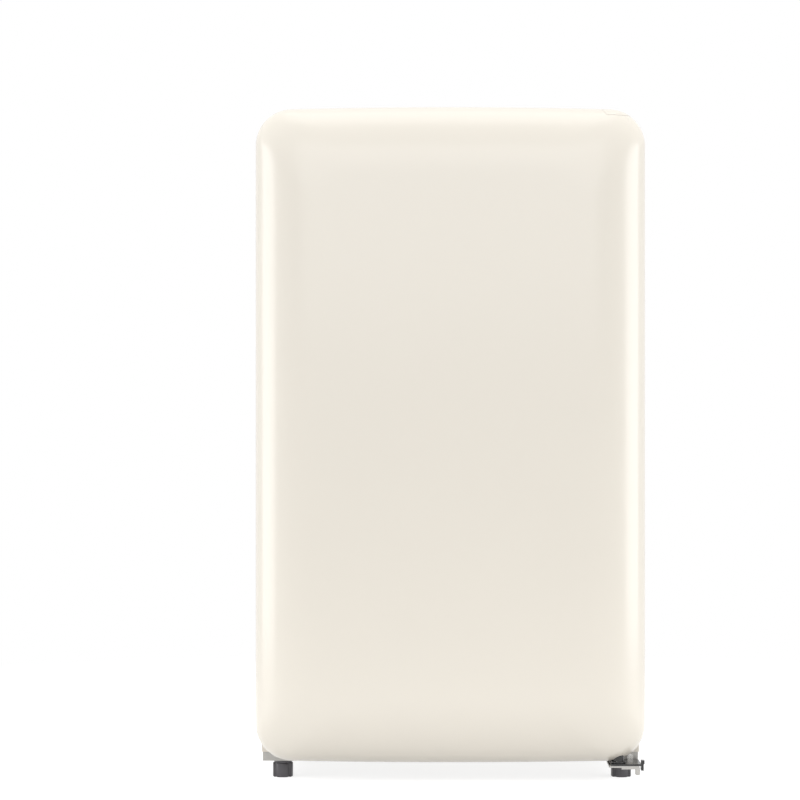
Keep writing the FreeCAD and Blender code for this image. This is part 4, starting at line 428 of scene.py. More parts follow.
def back_screw(bm, x, z):
    """Adds a pan-head screw with a cross on its head, driven into the back sheet."""
    head = bmesh.new()
    rings = []
    for r, rise in ((screw_radius, -0.3), (screw_radius, 0.7), (screw_radius * 0.86, 1.5),
                    (screw_radius * 0.55, 1.95)):
        turn = [math.tau * i / screw_points for i in range(screw_points)]
        rings.append([Vector((r * math.cos(a), r * math.sin(a), rise)) * mm for a in turn])
    skin_over(head, rings, caps=(0, -1))
    for wide, deep in ((screw_radius * 0.9, cross_wide), (cross_wide, screw_radius * 0.9)):
        size = Matrix.Diagonal((wide * mm, deep * mm, 0.12 * mm, 1))
        bmesh.ops.create_cube(head, size=1,
                              matrix=Matrix.Translation((0, 0, 1.97 * mm)) @ size)
    turn = Vector((0, 1, 0)).to_track_quat("Z", "X").to_matrix().to_4x4()
    part = bpy.data.meshes.new("part")
    head.to_mesh(part)
    head.free()
    part.transform(Matrix.Translation(Vector((x, panel_back, z)) * mm) @ turn)
    bm.from_mesh(part)
    bpy.data.meshes.remove(part)


beads = bmesh.new()
for z in bead_rows:
    pressed_bead(beads, -bead_half, bead_half, z, z + bead_wide)
for side in (-1, 1):
    pressed_bead(beads, *sorted((side * column_inner, side * column_outer)),
                 column_low, column_high)
bead_piece = new_piece("back_panel_beads", beads, enamel)
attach(bead_piece, "cabinet")

back_screws = bmesh.new()
for x in (-back_screw_x, back_screw_x):
    for z in back_screw_rows:
        back_screw(back_screws, x, z)
for x in back_screw_columns:
    back_screw(back_screws, x, back_screw_high)
    back_screw(back_screws, x, back_screw_low)
screw_zinc = finish_of("screw_zinc", (0.62, 0.61, 0.58), 0.32, drift=0.12,
                       drift_scale=60, Metallic=0.95)
screw_piece = new_piece("back_panel_screws", back_screws, screw_zinc)
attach(screw_piece, "cabinet")

plate_left, plate_right, plate_low, plate_high, plate_corner = -96, -26, 236, 258, 2.5
plate = bmesh.new()
skin_over(plate, [flat_ring(round_loop(plate_left + i, plate_right - i, plate_low + i,
                                       plate_high - i, plate_corner - i, 6), panel_back + y)
                  for i, y in ((0, -0.1), (0, 0.25), (0.3, 0.4))], caps=(0, -1))
plate_foil = finish_of("plate_foil", (0.7, 0.7, 0.69), 0.3, drift=0.05, grain=900,
                       grain_depth=0.05, stretch=(0.02, 1, 1), Metallic=0.8)
plate_piece = new_piece("blank_rating_plate", plate, plate_foil)
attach(plate_piece, "cabinet")


# --- Hidden sheets and foam -------------------------------------------------------------
# Zinc-dipped sheets close the underside and line the compressor's bay, a rail ties the
# sides together below the door, and yellowish foam is blown into the space between.

foam = finish_of("rigid_foam", (0.72, 0.6, 0.36), 0.8, drift=0.15, drift_scale=40,
                 grain=500, grain_depth=2.0)
for name in ("bottom_panel", "bay_panel", "front_cross_rail"):
    dress(name, zinc_sheet_in_shade)
for name in ("cabinet_foam", "door_foam"):
    dress(name, foam)


# --- Inner liner ------------------------------------------------------------------------
# The white food compartment is one sheet of polystyrene drawn over a mould by vacuum, so
# its gloss varies slightly where it stretched. It steps over the compressor's bay.

liner_white = (0.83, 0.84, 0.84)
liner_plastic = finish_of("liner_plastic", liner_white, 0.34, drift=0.02,
                          drift_scale=4.0, grain=60, grain_depth=0.05)
inner_x = 192
inner_low, inner_high = 75, 780
inner_back = 176
bay_roof, bay_front = 259, 34
front_y = -174
mould_radius, hump_radius = 12, 4
lip_radius, liner_sheet = 3, 1.5
flange_x, flange_low, flange_high, flange_corner = 206, 61, 794, 4
rib_tops, rib_front, rib_back = (265, 385, 500, 627.7), -110, 174.5
rib_root, rib_reach, rib_thick, rib_gap, rib_round = 3, 7.7, 6, 0.2, 2.4
runner_inner, runner_outer, runner_round = 165.2, 169, 1.5
runner_front, runner_back, runner_low, runner_high = -98, 34, 72, 83


def over_hump(edge):
    """Whether an edge is the one across the bay's roof at its front."""
    return len(edge.link_faces) == 2 and all(
        abs(v.co.z - bay_roof * mm) < 1e-5 and abs(v.co.y - bay_front * mm) < 1e-5
        for v in edge.verts)


def liner_cavity(bm):
    """Adds the compartment as one moulded skin, open at the front and rounded inside."""
    mouth = front_y + lip_radius
    side = [(mouth, inner_low), (bay_front, inner_low), (bay_front, bay_roof),
            (inner_back, bay_roof), (inner_back, inner_high), (mouth, inner_high)]
    ends = [flat_ring(side, x, "X") for x in (-inner_x, inner_x)]
    skin_over(bm, ends, caps=(0, -1))
    front = [f for f in bm.faces if all(abs(v.co.y - mouth * mm) < 1e-6 for v in f.verts)]
    rim = {e for f in front for e in f.edges}
    bmesh.ops.delete(bm, geom=front, context="FACES_ONLY")
    inside = [e for e in bm.edges if e not in rim and not over_hump(e)]
    bmesh.ops.bevel(bm, geom=inside, offset=mould_radius * mm, segments=5, profile=0.5,
                    affect="EDGES")
    hump = [e for e in bm.edges if over_hump(e)]
    bmesh.ops.bevel(bm, geom=hump, offset=hump_radius * mm, segments=3, profile=0.5,
                    affect="EDGES")


def liner_flange(bm):
    """Adds the lip that turns out of the mouth and the flat flange round it."""
    rings = [flat_ring(round_loop(-inner_x - out, inner_x + out, inner_low - out,
                                  inner_high + out, mould_radius + out, 5), y)
             for out, y in arc(lip_radius, front_y + lip_radius, lip_radius, 180, 270)]
    edge = round_loop(-flange_x, flange_x, flange_low, flange_high, flange_corner, 5)
    skin_over(bm, [*rings, flat_ring(edge, front_y)])


def settle(parts, place):
    """Puts a mesh's points or faces in an order that is the same each time."""
    parts.index_update()
    order = {part.index: rank for rank, part in enumerate(sorted(parts, key=place))}
    parts.sort(key=lambda part: order[part.index])
    parts.index_update()


def thicken(bm, sheet, inside):
    """Gives a skin the sheet's thickness, away from the side that a point inside sees."""
    bmesh.ops.recalc_face_normals(bm, faces=bm.faces)
    near = min(bm.faces, key=lambda f: (f.calc_center_median() - inside * mm).length)
    if near.normal.dot(inside * mm - near.calc_center_median()) < 0:
        bmesh.ops.reverse_faces(bm, faces=bm.faces)
    bmesh.ops.solidify(bm, geom=bm.faces[:], thickness=sheet * mm)
    settle(bm.verts, lambda v: v.co[:])
    settle(bm.faces, lambda f: sorted(v.index for v in f.verts))


moulding = bmesh.new()
liner_cavity(moulding)
liner_flange(moulding)
bmesh.ops.remove_doubles(moulding, verts=moulding.verts, dist=0.05 * mm)
thicken(moulding, liner_sheet, Vector((0, 0, 500)))
for top in rib_tops:
    for side in (-1, 1):
        ends = sorted((side * (inner_x + rib_root), side * (inner_x - rib_reach)))
        soft_block(moulding, *ends, rib_front, rib_back, top - rib_gap - rib_thick,
                   top - rib_gap, rib_round)
for side in (-1, 1):
    ends = sorted((side * runner_inner, side * runner_outer))
    soft_block(moulding, *ends, runner_front, runner_back, runner_low, runner_high,
               runner_round)
liner_piece = new_piece("food_compartment", moulding, liner_plastic)
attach(liner_piece, "cabinet")
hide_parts("inner_liner")


# --- Compressor -------------------------------------------------------------------------
# A welded black steel pot on rubber grommets, bolted to a tray at the back. Its defrost
# tray sits on its dome, and a terminal box is clipped to its side.

pot_paint = finish_of("pot_paint", (0.014, 0.014, 0.015), 0.36, drift=0.3,
                      grain=700, grain_depth=0.4)
zinc_plate = finish_of("zinc_plate", (0.72, 0.71, 0.68), 0.26, drift=0.1,
                       drift_scale=30, rough_swing=0.08,
                       worn=((0.5, 0.48, 0.45), 0.9), Metallic=0.95)
black_plastic = finish_of("black_plastic", (0.016, 0.016, 0.017), 0.4, drift=0.2,
                          grain=1200, grain_depth=0.25)
dress("compressor_plate", zinc_sheet_in_shade)
dress("compressor_grommets", foot_rubber)
dress("compressor_legs", pot_paint)
dress("compressor_bolts", zinc_plate)
dress("compressor", pot_paint)
dress("terminal_box", black_plastic)
dress("drip_tray", black_plastic)
dress("cord_gland", foot_rubber)


# --- Condenser and pipes ----------------------------------------------------------------
# A black tube folded up the back with wires welded across it gives off the heat. Copper
# pipes join it, through a filter drier, to the compressor and the ice box.

copper = finish_of("drawn_copper", (0.72, 0.36, 0.22), 0.3, drift=0.2, drift_scale=25,
                   rough_swing=0.1, Metallic=1.0)
tube_paint = finish_of("tube_paint", (0.016, 0.016, 0.017), 0.38, drift=0.25)
dress("condenser_tube", tube_paint)
dress("condenser_wires", tube_paint)
dress("condenser_brackets", black_plastic)
dress("filter_drier", copper)
dress("refrigerant_pipes", copper)


# --- Ice box ----------------------------------------------------------------------------
# The evaporator is an aluminium box with the channels pressed into its sheet. A white
# frame closes its mouth and carries the flap, and a tube behind drains the melt water.

aluminium = finish_of("rolled_aluminium", (0.8, 0.81, 0.82), 0.34, drift=0.08,
                      drift_scale=12, grain=300, grain_depth=0.2, stretch=(0.02, 1, 1),
                      Metallic=0.95)
white_plastic = finish_of("white_plastic", (0.82, 0.83, 0.83), 0.32, drift=0.02,
                          grain=700, grain_depth=0.1)
dress("ice_box", aluminium)
for name in ("ice_box_hangers", "ice_box_frame", "freezer_flap", "drain_tube"):
    dress(name, white_plastic)


# --- Shelves, drawer and clear parts ----------------------------------------------------
# The shelves are toughened glass in white plastic trims that rest on the liner's ribs.
# The drawer, tray and door racks are moulded in clear polystyrene.

def clear_finish(name, colour, rough, ior, solid):
    """Clear glass or plastic; solid is how much of the light it bends at all."""
    return finish_of(name, colour, rough, drift_scale=5.0, rough_swing=0.02,
                     Transmission_Weight=1.0, IOR=ior, Alpha=solid)


shelf_glass = clear_finish("shelf_glass", (0.88, 0.96, 0.93), 0.03, 1.46, solid=0.6)
clear_plastic = clear_finish("clear_plastic", (0.95, 0.97, 0.98), 0.05, 1.4, solid=0.5)
for name in ("shelf_upper", "shelf_lower", "crisper_cover"):
    dress(name, shelf_glass)
dress("chill_tray", clear_plastic)

shelf_ribs = rib_tops[:3]
trim_half, trim_cap = 183.4, 187.4
trim_fronts, trim_wide, trim_drop, trim_rise = (-100, 158), 10, 5, 7
trims = bmesh.new()
for shelf_z in shelf_ribs:
    for front in trim_fronts:
        soft_block(trims, -trim_half, trim_half, front, front + trim_wide,
                   shelf_z - trim_drop, shelf_z + trim_rise, 2.6)
        soft_block(trims, -trim_cap, trim_cap, front + 0.1, front + trim_wide - 0.1,
                   shelf_z + rib_gap, shelf_z + trim_rise - 0.1, 2.4)
shelf_edges = new_piece("shelf_edge_trims", trims, white_plastic)
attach(shelf_edges, "cabinet")
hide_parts("shelf_trims")


tub_wall, tub_foot, tub_lean, tub_rim, rim_step = 2.2, 4, 2.2, 4, 1.2


def tub(bm, half, front, back, low, high, corner):
    """Adds an open moulded tub: leaning walls, rounded foot and a thicker rim."""
    inner = tub_lean + tub_wall + tub_foot
    course = [*arc(tub_lean + tub_foot, low + tub_foot, tub_foot, 270, 180),
              (rim_step, high - tub_rim - 1.5), (0.2, high - tub_rim),
              (0, high - tub_rim + 0.6), (0, high - 0.8), (0.7, high),
              (rim_step + tub_wall - 0.6, high), (rim_step + tub_wall, high - 0.8),
              *arc(inner, low + tub_wall + tub_foot, tub_foot, 180, 270)]
    skin_over(bm, [flat_ring(round_loop(-half + i, half - i, front + i, back - i,
                                        max(corner - i, 1)), z, "Z")
                   for i, z in course], caps=(0, -1))


drawer_half, drawer_front, drawer_back, drawer_corner = 164, -108, 28, 14
drawer_low, drawer_high = 75.3, 235.3
# The finger lip on the drawer's front: its box, and how far its edges are rounded.
drawer_lip = (-60, 60, -112.8, -105.5, 223.3, 235, 2.4)
drawer = bmesh.new()
tub(drawer, drawer_half, drawer_front, drawer_back, drawer_low, drawer_high, drawer_corner)
drawer_piece = new_piece("vegetable_drawer", drawer, clear_plastic)
combine(drawer_piece, [tool_of(soft_block, *drawer_lip)], "UNION")
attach(drawer_piece, "crisper")
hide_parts("crisper_drawer")


# --- Thermostat, lamp and switch --------------------------------------------------------
# A white box on the right wall holds the thermostat with its knob, a lamp of three light
# diodes behind a frosted lens, and the switch that the door presses.

lens = finish_of("frosted_lens", (0.84, 0.85, 0.84), 0.4, drift=0.03,
                 Emission_Color=(1, 0.97, 0.92, 1), Emission_Strength=0.25)
board = finish_of("circuit_board", (0.75, 0.76, 0.72), 0.35, drift=0.1)
control_face, control_front, control_back = 150, -112, 30
control_low, control_high, control_round, control_root = 545, 615, 7, 4
switch_x, switch_z, bezel_points = 168, 595, 32
knob_y, knob_z, knob_points, knob_flutes = -50, 580, 120, 20
dial_marks, dial_radius, dial_step, digit_size, digit_rise = 7, 24, 50, 7, 0.12

# The ring round the switch's plunger: radius, and how far it lies behind the front.
bezel_course = ((8, 1), (7.6, -1.2), (5, -1.6), (4.4, 1))
control = bmesh.new()
soft_block(control, control_face, inner_x + control_root, control_front, control_back,
           control_low, control_high, control_round, segments=6)
bezel_turn = [math.tau * i / bezel_points for i in range(bezel_points)]
skin_over(control, [flat_ring([(switch_x + r * math.cos(a), switch_z + r * math.sin(a))
                               for a in bezel_turn], control_front + y)
                    for r, y in bezel_course], wrap=True)
control_piece = new_piece("control_housing", control, white_plastic)
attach(control_piece, "cabinet")
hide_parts("thermostat_housing")


def dial_digit(bm, text, y, z):
    """Adds a raised printed figure on the control's face, read from the left."""
    figure = bpy.data.curves.new("figure", "FONT")
    figure.body = text
    figure.size = digit_size * mm
    figure.extrude = digit_rise * mm
    figure.align_x, figure.align_y = "CENTER", "CENTER"
    figure.resolution_u = 3
    holder = bpy.data.objects.new("figure", figure)
    part = bpy.data.meshes.new_from_object(holder)
    turn = Matrix(((0, 0, -1, control_face * mm), (-1, 0, 0, y * mm), (0, 1, 0, z * mm),
                   (0, 0, 0, 1)))
    part.transform(turn)
    bm.from_mesh(part)
    bpy.data.meshes.remove(part)
    bpy.data.objects.remove(holder)
    bpy.data.curves.remove(figure)


dial_ink = finish_of("dial_ink", (0.05, 0.055, 0.06), 0.5, drift=0.2)
dial = bmesh.new()
for step in range(dial_marks):
    lean = math.radians(dial_step * step)
    dial_digit(dial, str(step), knob_y + dial_radius * math.sin(lean),
               knob_z + dial_radius * math.cos(lean))
dial_piece = new_piece("dial_numbers", dial, dial_ink)
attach(dial_piece, "cabinet")


def knob_ring(radius, x, flute):
    """A circle round the knob's axis with shallow finger flutes."""
    loop = []
    for i in range(knob_points):
        a = math.tau * i / knob_points
        r = radius - flute * (0.5 + 0.5 * math.cos(knob_flutes * a))
        loop.append((knob_y + r * math.cos(a), knob_z + r * math.sin(a)))
    return flat_ring(loop, x, "X")


# Each ring of the knob as its radius, its place across the fridge and its flutes' depth.
knob_course = ((16.4, 149.7, 0), (17, 149.1, 0), (17, 147.6, 0), (15.6, 146.9, 0),
               (15.2, 146, 0.7), (14.6, 139.2, 0.7), (13.8, 138, 0.4), (12.6, 137.7, 0))
bar_outer, bar_inner, bar_half, bar_reach, bar_round = 132.9, 139, 2.8, 13, 1.6
knob = bmesh.new()
skin_over(knob, [knob_ring(*step) for step in knob_course], caps=(0, -1))
soft_block(knob, bar_outer, bar_inner, knob_y - bar_half, knob_y + bar_half,
           knob_z - bar_reach, knob_z + bar_reach, bar_round)
knob_piece = new_piece("control_knob", knob, white_plastic)
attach(knob_piece, "thermostat_knob")
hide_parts("thermostat_knob")

pointer_half = 0.8
pointer = bmesh.new()
soft_block(pointer, bar_outer - 0.3, bar_outer + 0.5, knob_y - pointer_half,
           knob_y + pointer_half, knob_z + 4, knob_z + 12, 0.25, segments=2)
pointer_piece = new_piece("knob_pointer", pointer, dial_ink)
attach(pointer_piece, "thermostat_knob")
dress("thermostat_body", zinc_plate)
dress("lamp_lens", lens)
dress("led_board", board)
dress("switch_body", white_plastic)
dress("switch_plunger", white_plastic)


# --- Door skin --------------------------------------------------------------------------
# The door's front is one steel pressing, crowned in every direction and rolled round to
# the back at its rim, then enamelled cream. Its top is notched for the hinge's arm, and a
# moulded white grip fills an opening in its edge.

door_half = 240
door_low, door_high = 24.5, 832
door_back = -184
crown_top, crown_low = 4, 2.5
corner_top, corner_low = 45, 46
pillow_run, pillow_depth = 85, 42
rear_round = 16
ring_y = -208
skin_sheet = 1
side_steps, corner_steps, crown_steps = 26, 18, 44
rear_steps, pillow_steps = 8, 32
hinge_x, hinge_y, post_points = 207, -214, 96
rear_opening = (-222.2, 222.2, 42.3, 810.2, 25.2)
grip_opening = (-245, -212.5, -203.2, -180, 369.8, 550.2)
arm_radius, arm_floor, slot_half, slot_floor, above_door = 20.05, 820.1, 5.5, 819.8, 840
bushing_radius, lower_bushing, upper_bushing = 7, (10, 60), (790, 821)
washer_recess = (9.8, 10, 27.2)


def door_ring(inset, y):
    """The door's outline, moved in by the inset, as points in order round it."""
    side = door_half - inset
    ends = {}
    for sign, edge, rise, corner in ((1, door_high, crown_top, corner_top),
                                     (-1, door_low, crown_low, corner_low)):
        reach = (door_half ** 2 + rise ** 2) / (2 * rise)
        radius = reach - inset
        middle = edge - sign * reach
        x = side - corner
        z = math.sqrt((radius - corner) ** 2 - x ** 2)
        lean = math.atan2(z, x)
        bend = [(x + corner * math.cos(lean * i / corner_steps),
                 middle + sign * (z + corner * math.sin(lean * i / corner_steps)))
                for i in range(corner_steps + 1)]
        spread = math.pi - 2 * lean
        arch = [(radius * math.cos(lean + spread * i / crown_steps),
                 middle + sign * radius * math.sin(lean + spread * i / crown_steps))
                for i in range(1, crown_steps)]
        ends[sign] = bend, arch
    (top_bend, top_arch), (low_bend, low_arch) = ends[1], ends[-1]
    first, last = low_bend[0][1], top_bend[0][1]
    rise = [(side, first + (last - first) * i / side_steps) for i in range(1, side_steps)]
    right = [*reversed(low_bend), *rise, *top_bend]
    left = [(-u, v) for u, v in reversed(right)]
    loop = [*right, *top_arch, *left, *reversed(low_arch)]
    return [Vector((u, y, v)) * mm for u, v in loop]


def door_form(bm, inset=0, flip=False):
    """Adds the door's whole rounded shape, moved in by the inset, as a closed skin."""
    back = door_back - inset
    turn = rear_round - inset
    depth = pillow_depth - inset
    rings = []
    for i in range(rear_steps + 1):
        a = math.pi / 2 * i / rear_steps
        rings.append((rear_round - turn * math.sin(a), back - turn * (1 - math.cos(a))))
    for i in range(pillow_steps + 1):
        a = math.pi / 2 * i / pillow_steps
        rings.append((inset + pillow_run * (1 - math.cos(a)), ring_y - depth * math.sin(a)))
    loops = [[bm.verts.new(p) for p in door_ring(shift, y)] for shift, y in rings]
    faces = [bm.faces.new(loops[0]), bm.faces.new(list(reversed(loops[-1])))]
    count = len(loops[0])
    for low, high in zip(loops, loops[1:]):
        for i in range(count):
            j = (i + 1) % count
            faces.append(bm.faces.new((low[j], low[i], high[i], high[j])))
    if flip:
        bmesh.ops.reverse_faces(bm, faces=faces)


def post(bm, radius, low, high):
    """Adds an upright cylinder on the hinge's axis."""
    place = Matrix.Translation(Vector((hinge_x, hinge_y, (low + high) / 2)) * mm)
    bmesh.ops.create_cone(bm, cap_ends=True, segments=post_points, radius1=radius * mm,
                          radius2=radius * mm, depth=(high - low) * mm, matrix=place)


def slab(bm, loop, front, back):
    """Adds a plate of a loop's outline between two depths."""
    ends = [[bm.verts.new(p) for p in flat_ring(loop, y)] for y in (front, back)]
    faces = [bm.faces.new(ends[0]), bm.faces.new(list(reversed(ends[1])))]
    for i in range(len(loop)):
        j = (i + 1) % len(loop)
        faces.append(bm.faces.new((ends[0][j], ends[0][i], ends[1][i], ends[1][j])))
    bmesh.ops.recalc_face_normals(bm, faces=faces)


shape = bmesh.new()
door_form(shape)
door_form(shape, inset=skin_sheet, flip=True)
door_skin = new_piece("door_front", shape, enamel)
openings = [tool_of(slab, round_loop(*rear_opening), door_back - 3, door_back + 3),
            tool_of(post, arm_radius, arm_floor, above_door),
            tool_of(block, hinge_x - slot_half, door_half + 5, hinge_y, door_back + 4,
                    slot_floor, above_door),
            tool_of(post, bushing_radius, *lower_bushing),
            tool_of(post, bushing_radius, *upper_bushing),
            tool_of(post, *washer_recess),
            tool_of(block, *grip_opening)]
combine(door_skin, openings)
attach(door_skin, "door")
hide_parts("door_skin")
dress("door_grip", white_plastic)


# --- Door liner, seal and racks ---------------------------------------------------------
# The door's inside is a vacuum-formed white sheet with a raised dike. A soft seal with
# magnet strips inside is pressed into its groove, and clear racks clip between the dikes.

seal = finish_of("seal_vinyl", (0.72, 0.73, 0.73), 0.5, drift=0.04, grain=500,
                 grain_depth=0.2)
magnet = finish_of("magnet_strip", (0.05, 0.04, 0.04), 0.7, drift=0.1)
sheet_edge, sheet_face, pan_sheet = (-222, 222, 42.5, 810, 25), door_back + 0.1, 2
dike_x, dike_low, dike_high = 172, 92.5, 764
dike_top, dike_wide, dike_corner, dike_round = -130, 24, 20, 5
recess_floor, recess_corner, recess_round = -216, 3, 3
racks = (("bottle_rack", 116.5, 200.5), ("door_rack_middle", 330, 392),
         ("door_rack_top", 518, 588))
boss_inner, boss_outer, boss_gap, boss_drop, boss_round = 140, 149, 0.2, 8, 2


def dike_ring(inset, y):
    """The dike's outline moved in by the inset, with corners that follow it."""
    narrowing = 1 if inset < 0 else (dike_corner - recess_corner) / dike_wide
    corner = max(dike_corner - inset * narrowing, 0.5)
    return flat_ring(round_loop(-dike_x + inset, dike_x - inset, dike_low + inset,
                                dike_high - inset, corner), y)


pan = bmesh.new()
course = [*arc(-dike_round, door_back + dike_round, dike_round, 270, 360),
          *arc(dike_round, dike_top - dike_round, dike_round, 180, 90),
          *arc(dike_wide - dike_round, dike_top - dike_round, dike_round, 90, 0),
          *arc(dike_wide + recess_round, recess_floor + recess_round, recess_round, 180,
               270)]
skin_over(pan, [flat_ring(round_loop(*sheet_edge), sheet_face),
                *(dike_ring(inset, y) for inset, y in course)], caps=(-1,))
thicken(pan, pan_sheet, Vector((0, -200, 420)))
# The two upper racks stand on bosses, and the lowest on the dike itself.
for _, low, _ in racks[1:]:
    for ends in ((-boss_outer, -boss_inner), (boss_inner, boss_outer)):
        soft_block(pan, *ends, recess_floor + 0.3, dike_top - 12, low - boss_drop,
                   low - boss_gap, boss_round)
door_pan = new_piece("door_inner_pan", pan, liner_plastic)
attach(door_pan, "door")
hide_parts("door_liner")

seal_inner_x, seal_low, seal_high, seal_corner = 195.5, 64.5, 789.5, 11
# The bellows' section: out from its inner edge, and up from the sheet it stands on.
seal_profile = [(3, 0), (11, 0), (11.6, 0.8), (9.4, 1.6), (12.8, 2.4), (13.8, 3.4),
                (14, 6), (13.6, 8.7), (12.4, 9.6), (7, 9.4), (1.6, 9.6), (0.4, 8.7),
                (0, 6), (0.2, 3.4), (1.2, 2.4), (4.6, 1.6), (2.4, 0.8)]
bellows = bmesh.new()
skin_over(bellows, [flat_ring(round_loop(-seal_inner_x - u, seal_inner_x + u, seal_low - u,
                                         seal_high + u, seal_corner + u),
                              sheet_face + rise) for u, rise in seal_profile],
          wrap=True)
door_seal = new_piece("door_seal", bellows, seal, smooth=50)
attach(door_seal, "door")
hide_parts("door_gasket")
dress("gasket_magnets", magnet)
rack_half, rack_front, rack_back, rack_corner = 147.8, -215.8, -119.8, 9
for node, low, high in racks:
    rack = bmesh.new()
    tub(rack, rack_half, rack_front, rack_back, low, high, rack_corner)
    rack_piece = new_piece(f"clear_{node}", rack, clear_plastic)
    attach(rack_piece, "door")
    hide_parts(node)


# --- Hinges -----------------------------------------------------------------------------
# The door stands on a zinc-plated bracket screwed to the base frame and turns on its pin
# and on one in the top plate. A painted corner cap hides the top arm.

# The bracket's zinc is painted darker than the other plated parts: zinc grey with painted
# shade for the shade under the door.
bracket_zinc_in_shade = finish_of("bracket_zinc_in_shade", (0.44, 0.43, 0.41), 0.36, drift=0.1, drift_scale=30,
                      worn=((0.36, 0.35, 0.33), 0.9), Metallic=0.95)
nylon = finish_of("black_nylon", (0.02, 0.02, 0.021), 0.2, drift=0.2)
pin_radius, pin_low, pin_high, pin_tip = 4, 19.5, 48, 1.5
washer_radius, washer_low, washer_high, washer_edge = 9, 24.3, 26.9, 0.5
washer_bore = pin_radius + 0.05
turned_points = 48


def turned(bm, profile, wrap=False):
    """Adds a shape turned about the hinge's axis from (radius, height) points."""
    turn = [math.radians(360 * i / turned_points) for i in range(turned_points)]
    skin_over(bm, [flat_ring([(hinge_x + r * math.cos(a), hinge_y + r * math.sin(a))
                              for a in turn], z, "Z") for r, z in profile],
              wrap=wrap, caps=() if wrap else (0, -1))


pin = bmesh.new()
turned(pin, [(pin_radius, pin_low), (pin_radius, pin_high - pin_tip),
             (pin_radius - pin_tip, pin_high)])
pin_piece = new_piece("hinge_pin", pin, zinc_plate)
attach(pin_piece, "cabinet")
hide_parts("lower_hinge_pin")
washer = bmesh.new()
turned(washer, [(washer_bore, washer_low), (washer_radius - washer_edge, washer_low),
                (washer_radius, washer_low + washer_edge),
                (washer_radius, washer_high - washer_edge),
                (washer_radius - washer_edge, washer_high), (washer_bore, washer_high)],
       wrap=True)
washer_piece = new_piece("thrust_washer", washer, nylon)
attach(washer_piece, "cabinet")
dress("hinge_bushings", nylon)
dress("lower_hinge_bracket", bracket_zinc_in_shade)
dress("hinge_glide", nylon)
dress("hinge_screws", zinc_plate)
dress("top_hinge_plate", zinc_plate)
dress("top_hinge_cover", enamel)
dress("top_hinge_cap", enamel)


# --- Studio -----------------------------------------------------------------------------
# A pale floor under a white surround, with wide soft lamps on both sides, above and in
# front. The camera stands square to the door at about the height of its middle. Lengths
# here are in metres.

def white_floor():
    """A pale floor: it takes the fridge's shadow and fades to plain white far off.

    It glows only where the eye, a reflection or a clear part meets it."""
    material = bpy.data.materials.new("studio_floor")
    material.use_nodes = True
    tree = material.node_tree
    tree.nodes.clear()
    end = add(tree, "ShaderNodeOutputMaterial")
    paint = add(tree, "ShaderNodeBsdfDiffuse", {"Color": (0.6, 0.6, 0.6, 1)})
    glow = add(tree, "ShaderNodeEmission", {"Color": (1, 1, 1, 1)})
    seen = add(tree, "ShaderNodeLightPath")
    any_ray = add(tree, "ShaderNodeMath", operation="MAXIMUM")
    any_two = add(tree, "ShaderNodeMath", operation="MAXIMUM")
    lift = add(tree, "ShaderNodeMath", {1: 0.75}, operation="MULTIPLY")
    white = add(tree, "ShaderNodeEmission", {"Color": (1, 1, 1, 1)})
    place = add(tree, "ShaderNodeTexCoord")
    far = add(tree, "ShaderNodeVectorMath", operation="LENGTH")
    fade = add(tree, "ShaderNodeMapRange", {"From Min": 0.7, "From Max": 1.6})
    both = add(tree, "ShaderNodeAddShader")
    mix = add(tree, "ShaderNodeMixShader")
    wire(tree,
         (seen.outputs["Is Camera Ray"], any_ray.inputs[0]),
         (seen.outputs["Is Glossy Ray"], any_ray.inputs[1]),
         (any_ray.outputs[0], any_two.inputs[0]),
         (seen.outputs["Is Transmission Ray"], any_two.inputs[1]),
         (any_two.outputs[0], lift.inputs[0]),
         (lift.outputs[0], glow.inputs["Strength"]),
         (any_two.outputs[0], white.inputs["Strength"]),
         (paint.outputs[0], both.inputs[0]),
         (glow.outputs[0], both.inputs[1]),
         (place.outputs["Object"], far.inputs[0]),
         (far.outputs["Value"], fade.inputs["Value"]),
         (fade.outputs["Result"], mix.inputs["Fac"]),
         (both.outputs[0], mix.inputs[1]),
         (white.outputs[0], mix.inputs[2]),
         (mix.outputs[0], end.inputs["Surface"]))
    return material


ground = bmesh.new()
bmesh.ops.create_circle(ground, cap_ends=True, segments=96, radius=6)
floor = new_piece("floor", ground, white_floor())

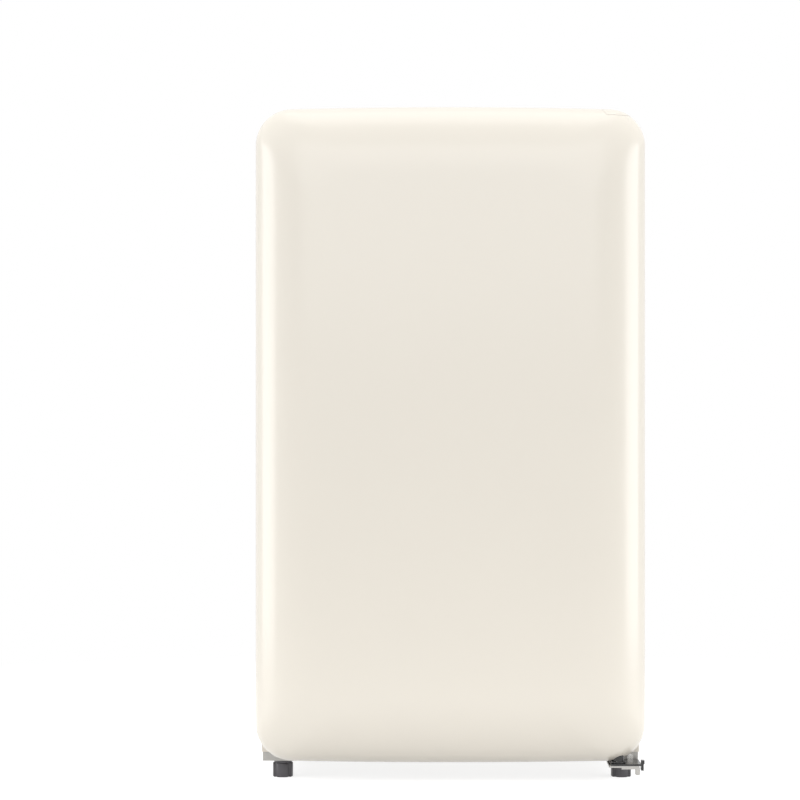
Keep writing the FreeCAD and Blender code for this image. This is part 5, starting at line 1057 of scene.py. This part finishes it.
world = bpy.data.worlds.new("studio")
bpy.context.scene.world = world
world.use_nodes = True
sky = world.node_tree
sky.nodes.clear()
sky_end = add(sky, "ShaderNodeOutputWorld")
sky_light = add(sky, "ShaderNodeBackground", {"Color": (1, 1, 1, 1)})
sky_seen = add(sky, "ShaderNodeLightPath")
sky_any = add(sky, "ShaderNodeMath", operation="MAXIMUM")
sky_all = add(sky, "ShaderNodeMath", operation="MAXIMUM")
sky_level = add(sky, "ShaderNodeMapRange", {"To Min": 0.85})
wire(sky,
     (sky_seen.outputs["Is Camera Ray"], sky_any.inputs[0]),
     (sky_seen.outputs["Is Transmission Ray"], sky_any.inputs[1]),
     (sky_any.outputs[0], sky_all.inputs[0]),
     (sky_seen.outputs["Is Glossy Ray"], sky_all.inputs[1]),
     (sky_all.outputs[0], sky_level.inputs["Value"]),
     (sky_level.outputs["Result"], sky_light.inputs["Strength"]),
     (sky_light.outputs[0], sky_end.inputs["Surface"]))


middle = Vector((0, 0, 0.42))


def soft_lamp(name, place, wide, tall, watts):
    """A rectangular soft lamp that points at the fridge's middle."""
    data = bpy.data.lights.new(name, "AREA")
    data.shape = "RECTANGLE"
    data.size, data.size_y = wide, tall
    data.energy = watts
    lamp = bpy.data.objects.new(name, data)
    lamp.location = place
    lamp.rotation_euler = (middle - Vector(place)).to_track_quat("-Z", "Y").to_euler()
    bpy.context.scene.collection.objects.link(lamp)


soft_lamp("left_lamp", (-1.9, -0.75, 0.5), 1.1, 1.7, 17)
soft_lamp("right_lamp", (1.9, -0.75, 0.5), 1.1, 1.7, 17)
soft_lamp("top_lamp", (0, -0.4, 2.2), 1.5, 1.1, 5)
soft_lamp("front_lamp", (0, -3.6, 1.7), 3.0, 2.0, 22)

camera_data = bpy.data.cameras.new("camera")
camera_data.sensor_width = 36
camera_data.lens = 109.5
camera_data.shift_x = -0.063
camera_data.shift_y = 0.0537
camera = bpy.data.objects.new("camera", camera_data)
camera.location = (0, -3.208, 0.418)
camera.rotation_euler = (math.pi / 2, 0, 0)
bpy.context.scene.collection.objects.link(camera)
bpy.context.scene.camera = camera
bpy.context.scene.view_settings.view_transform = "Standard"
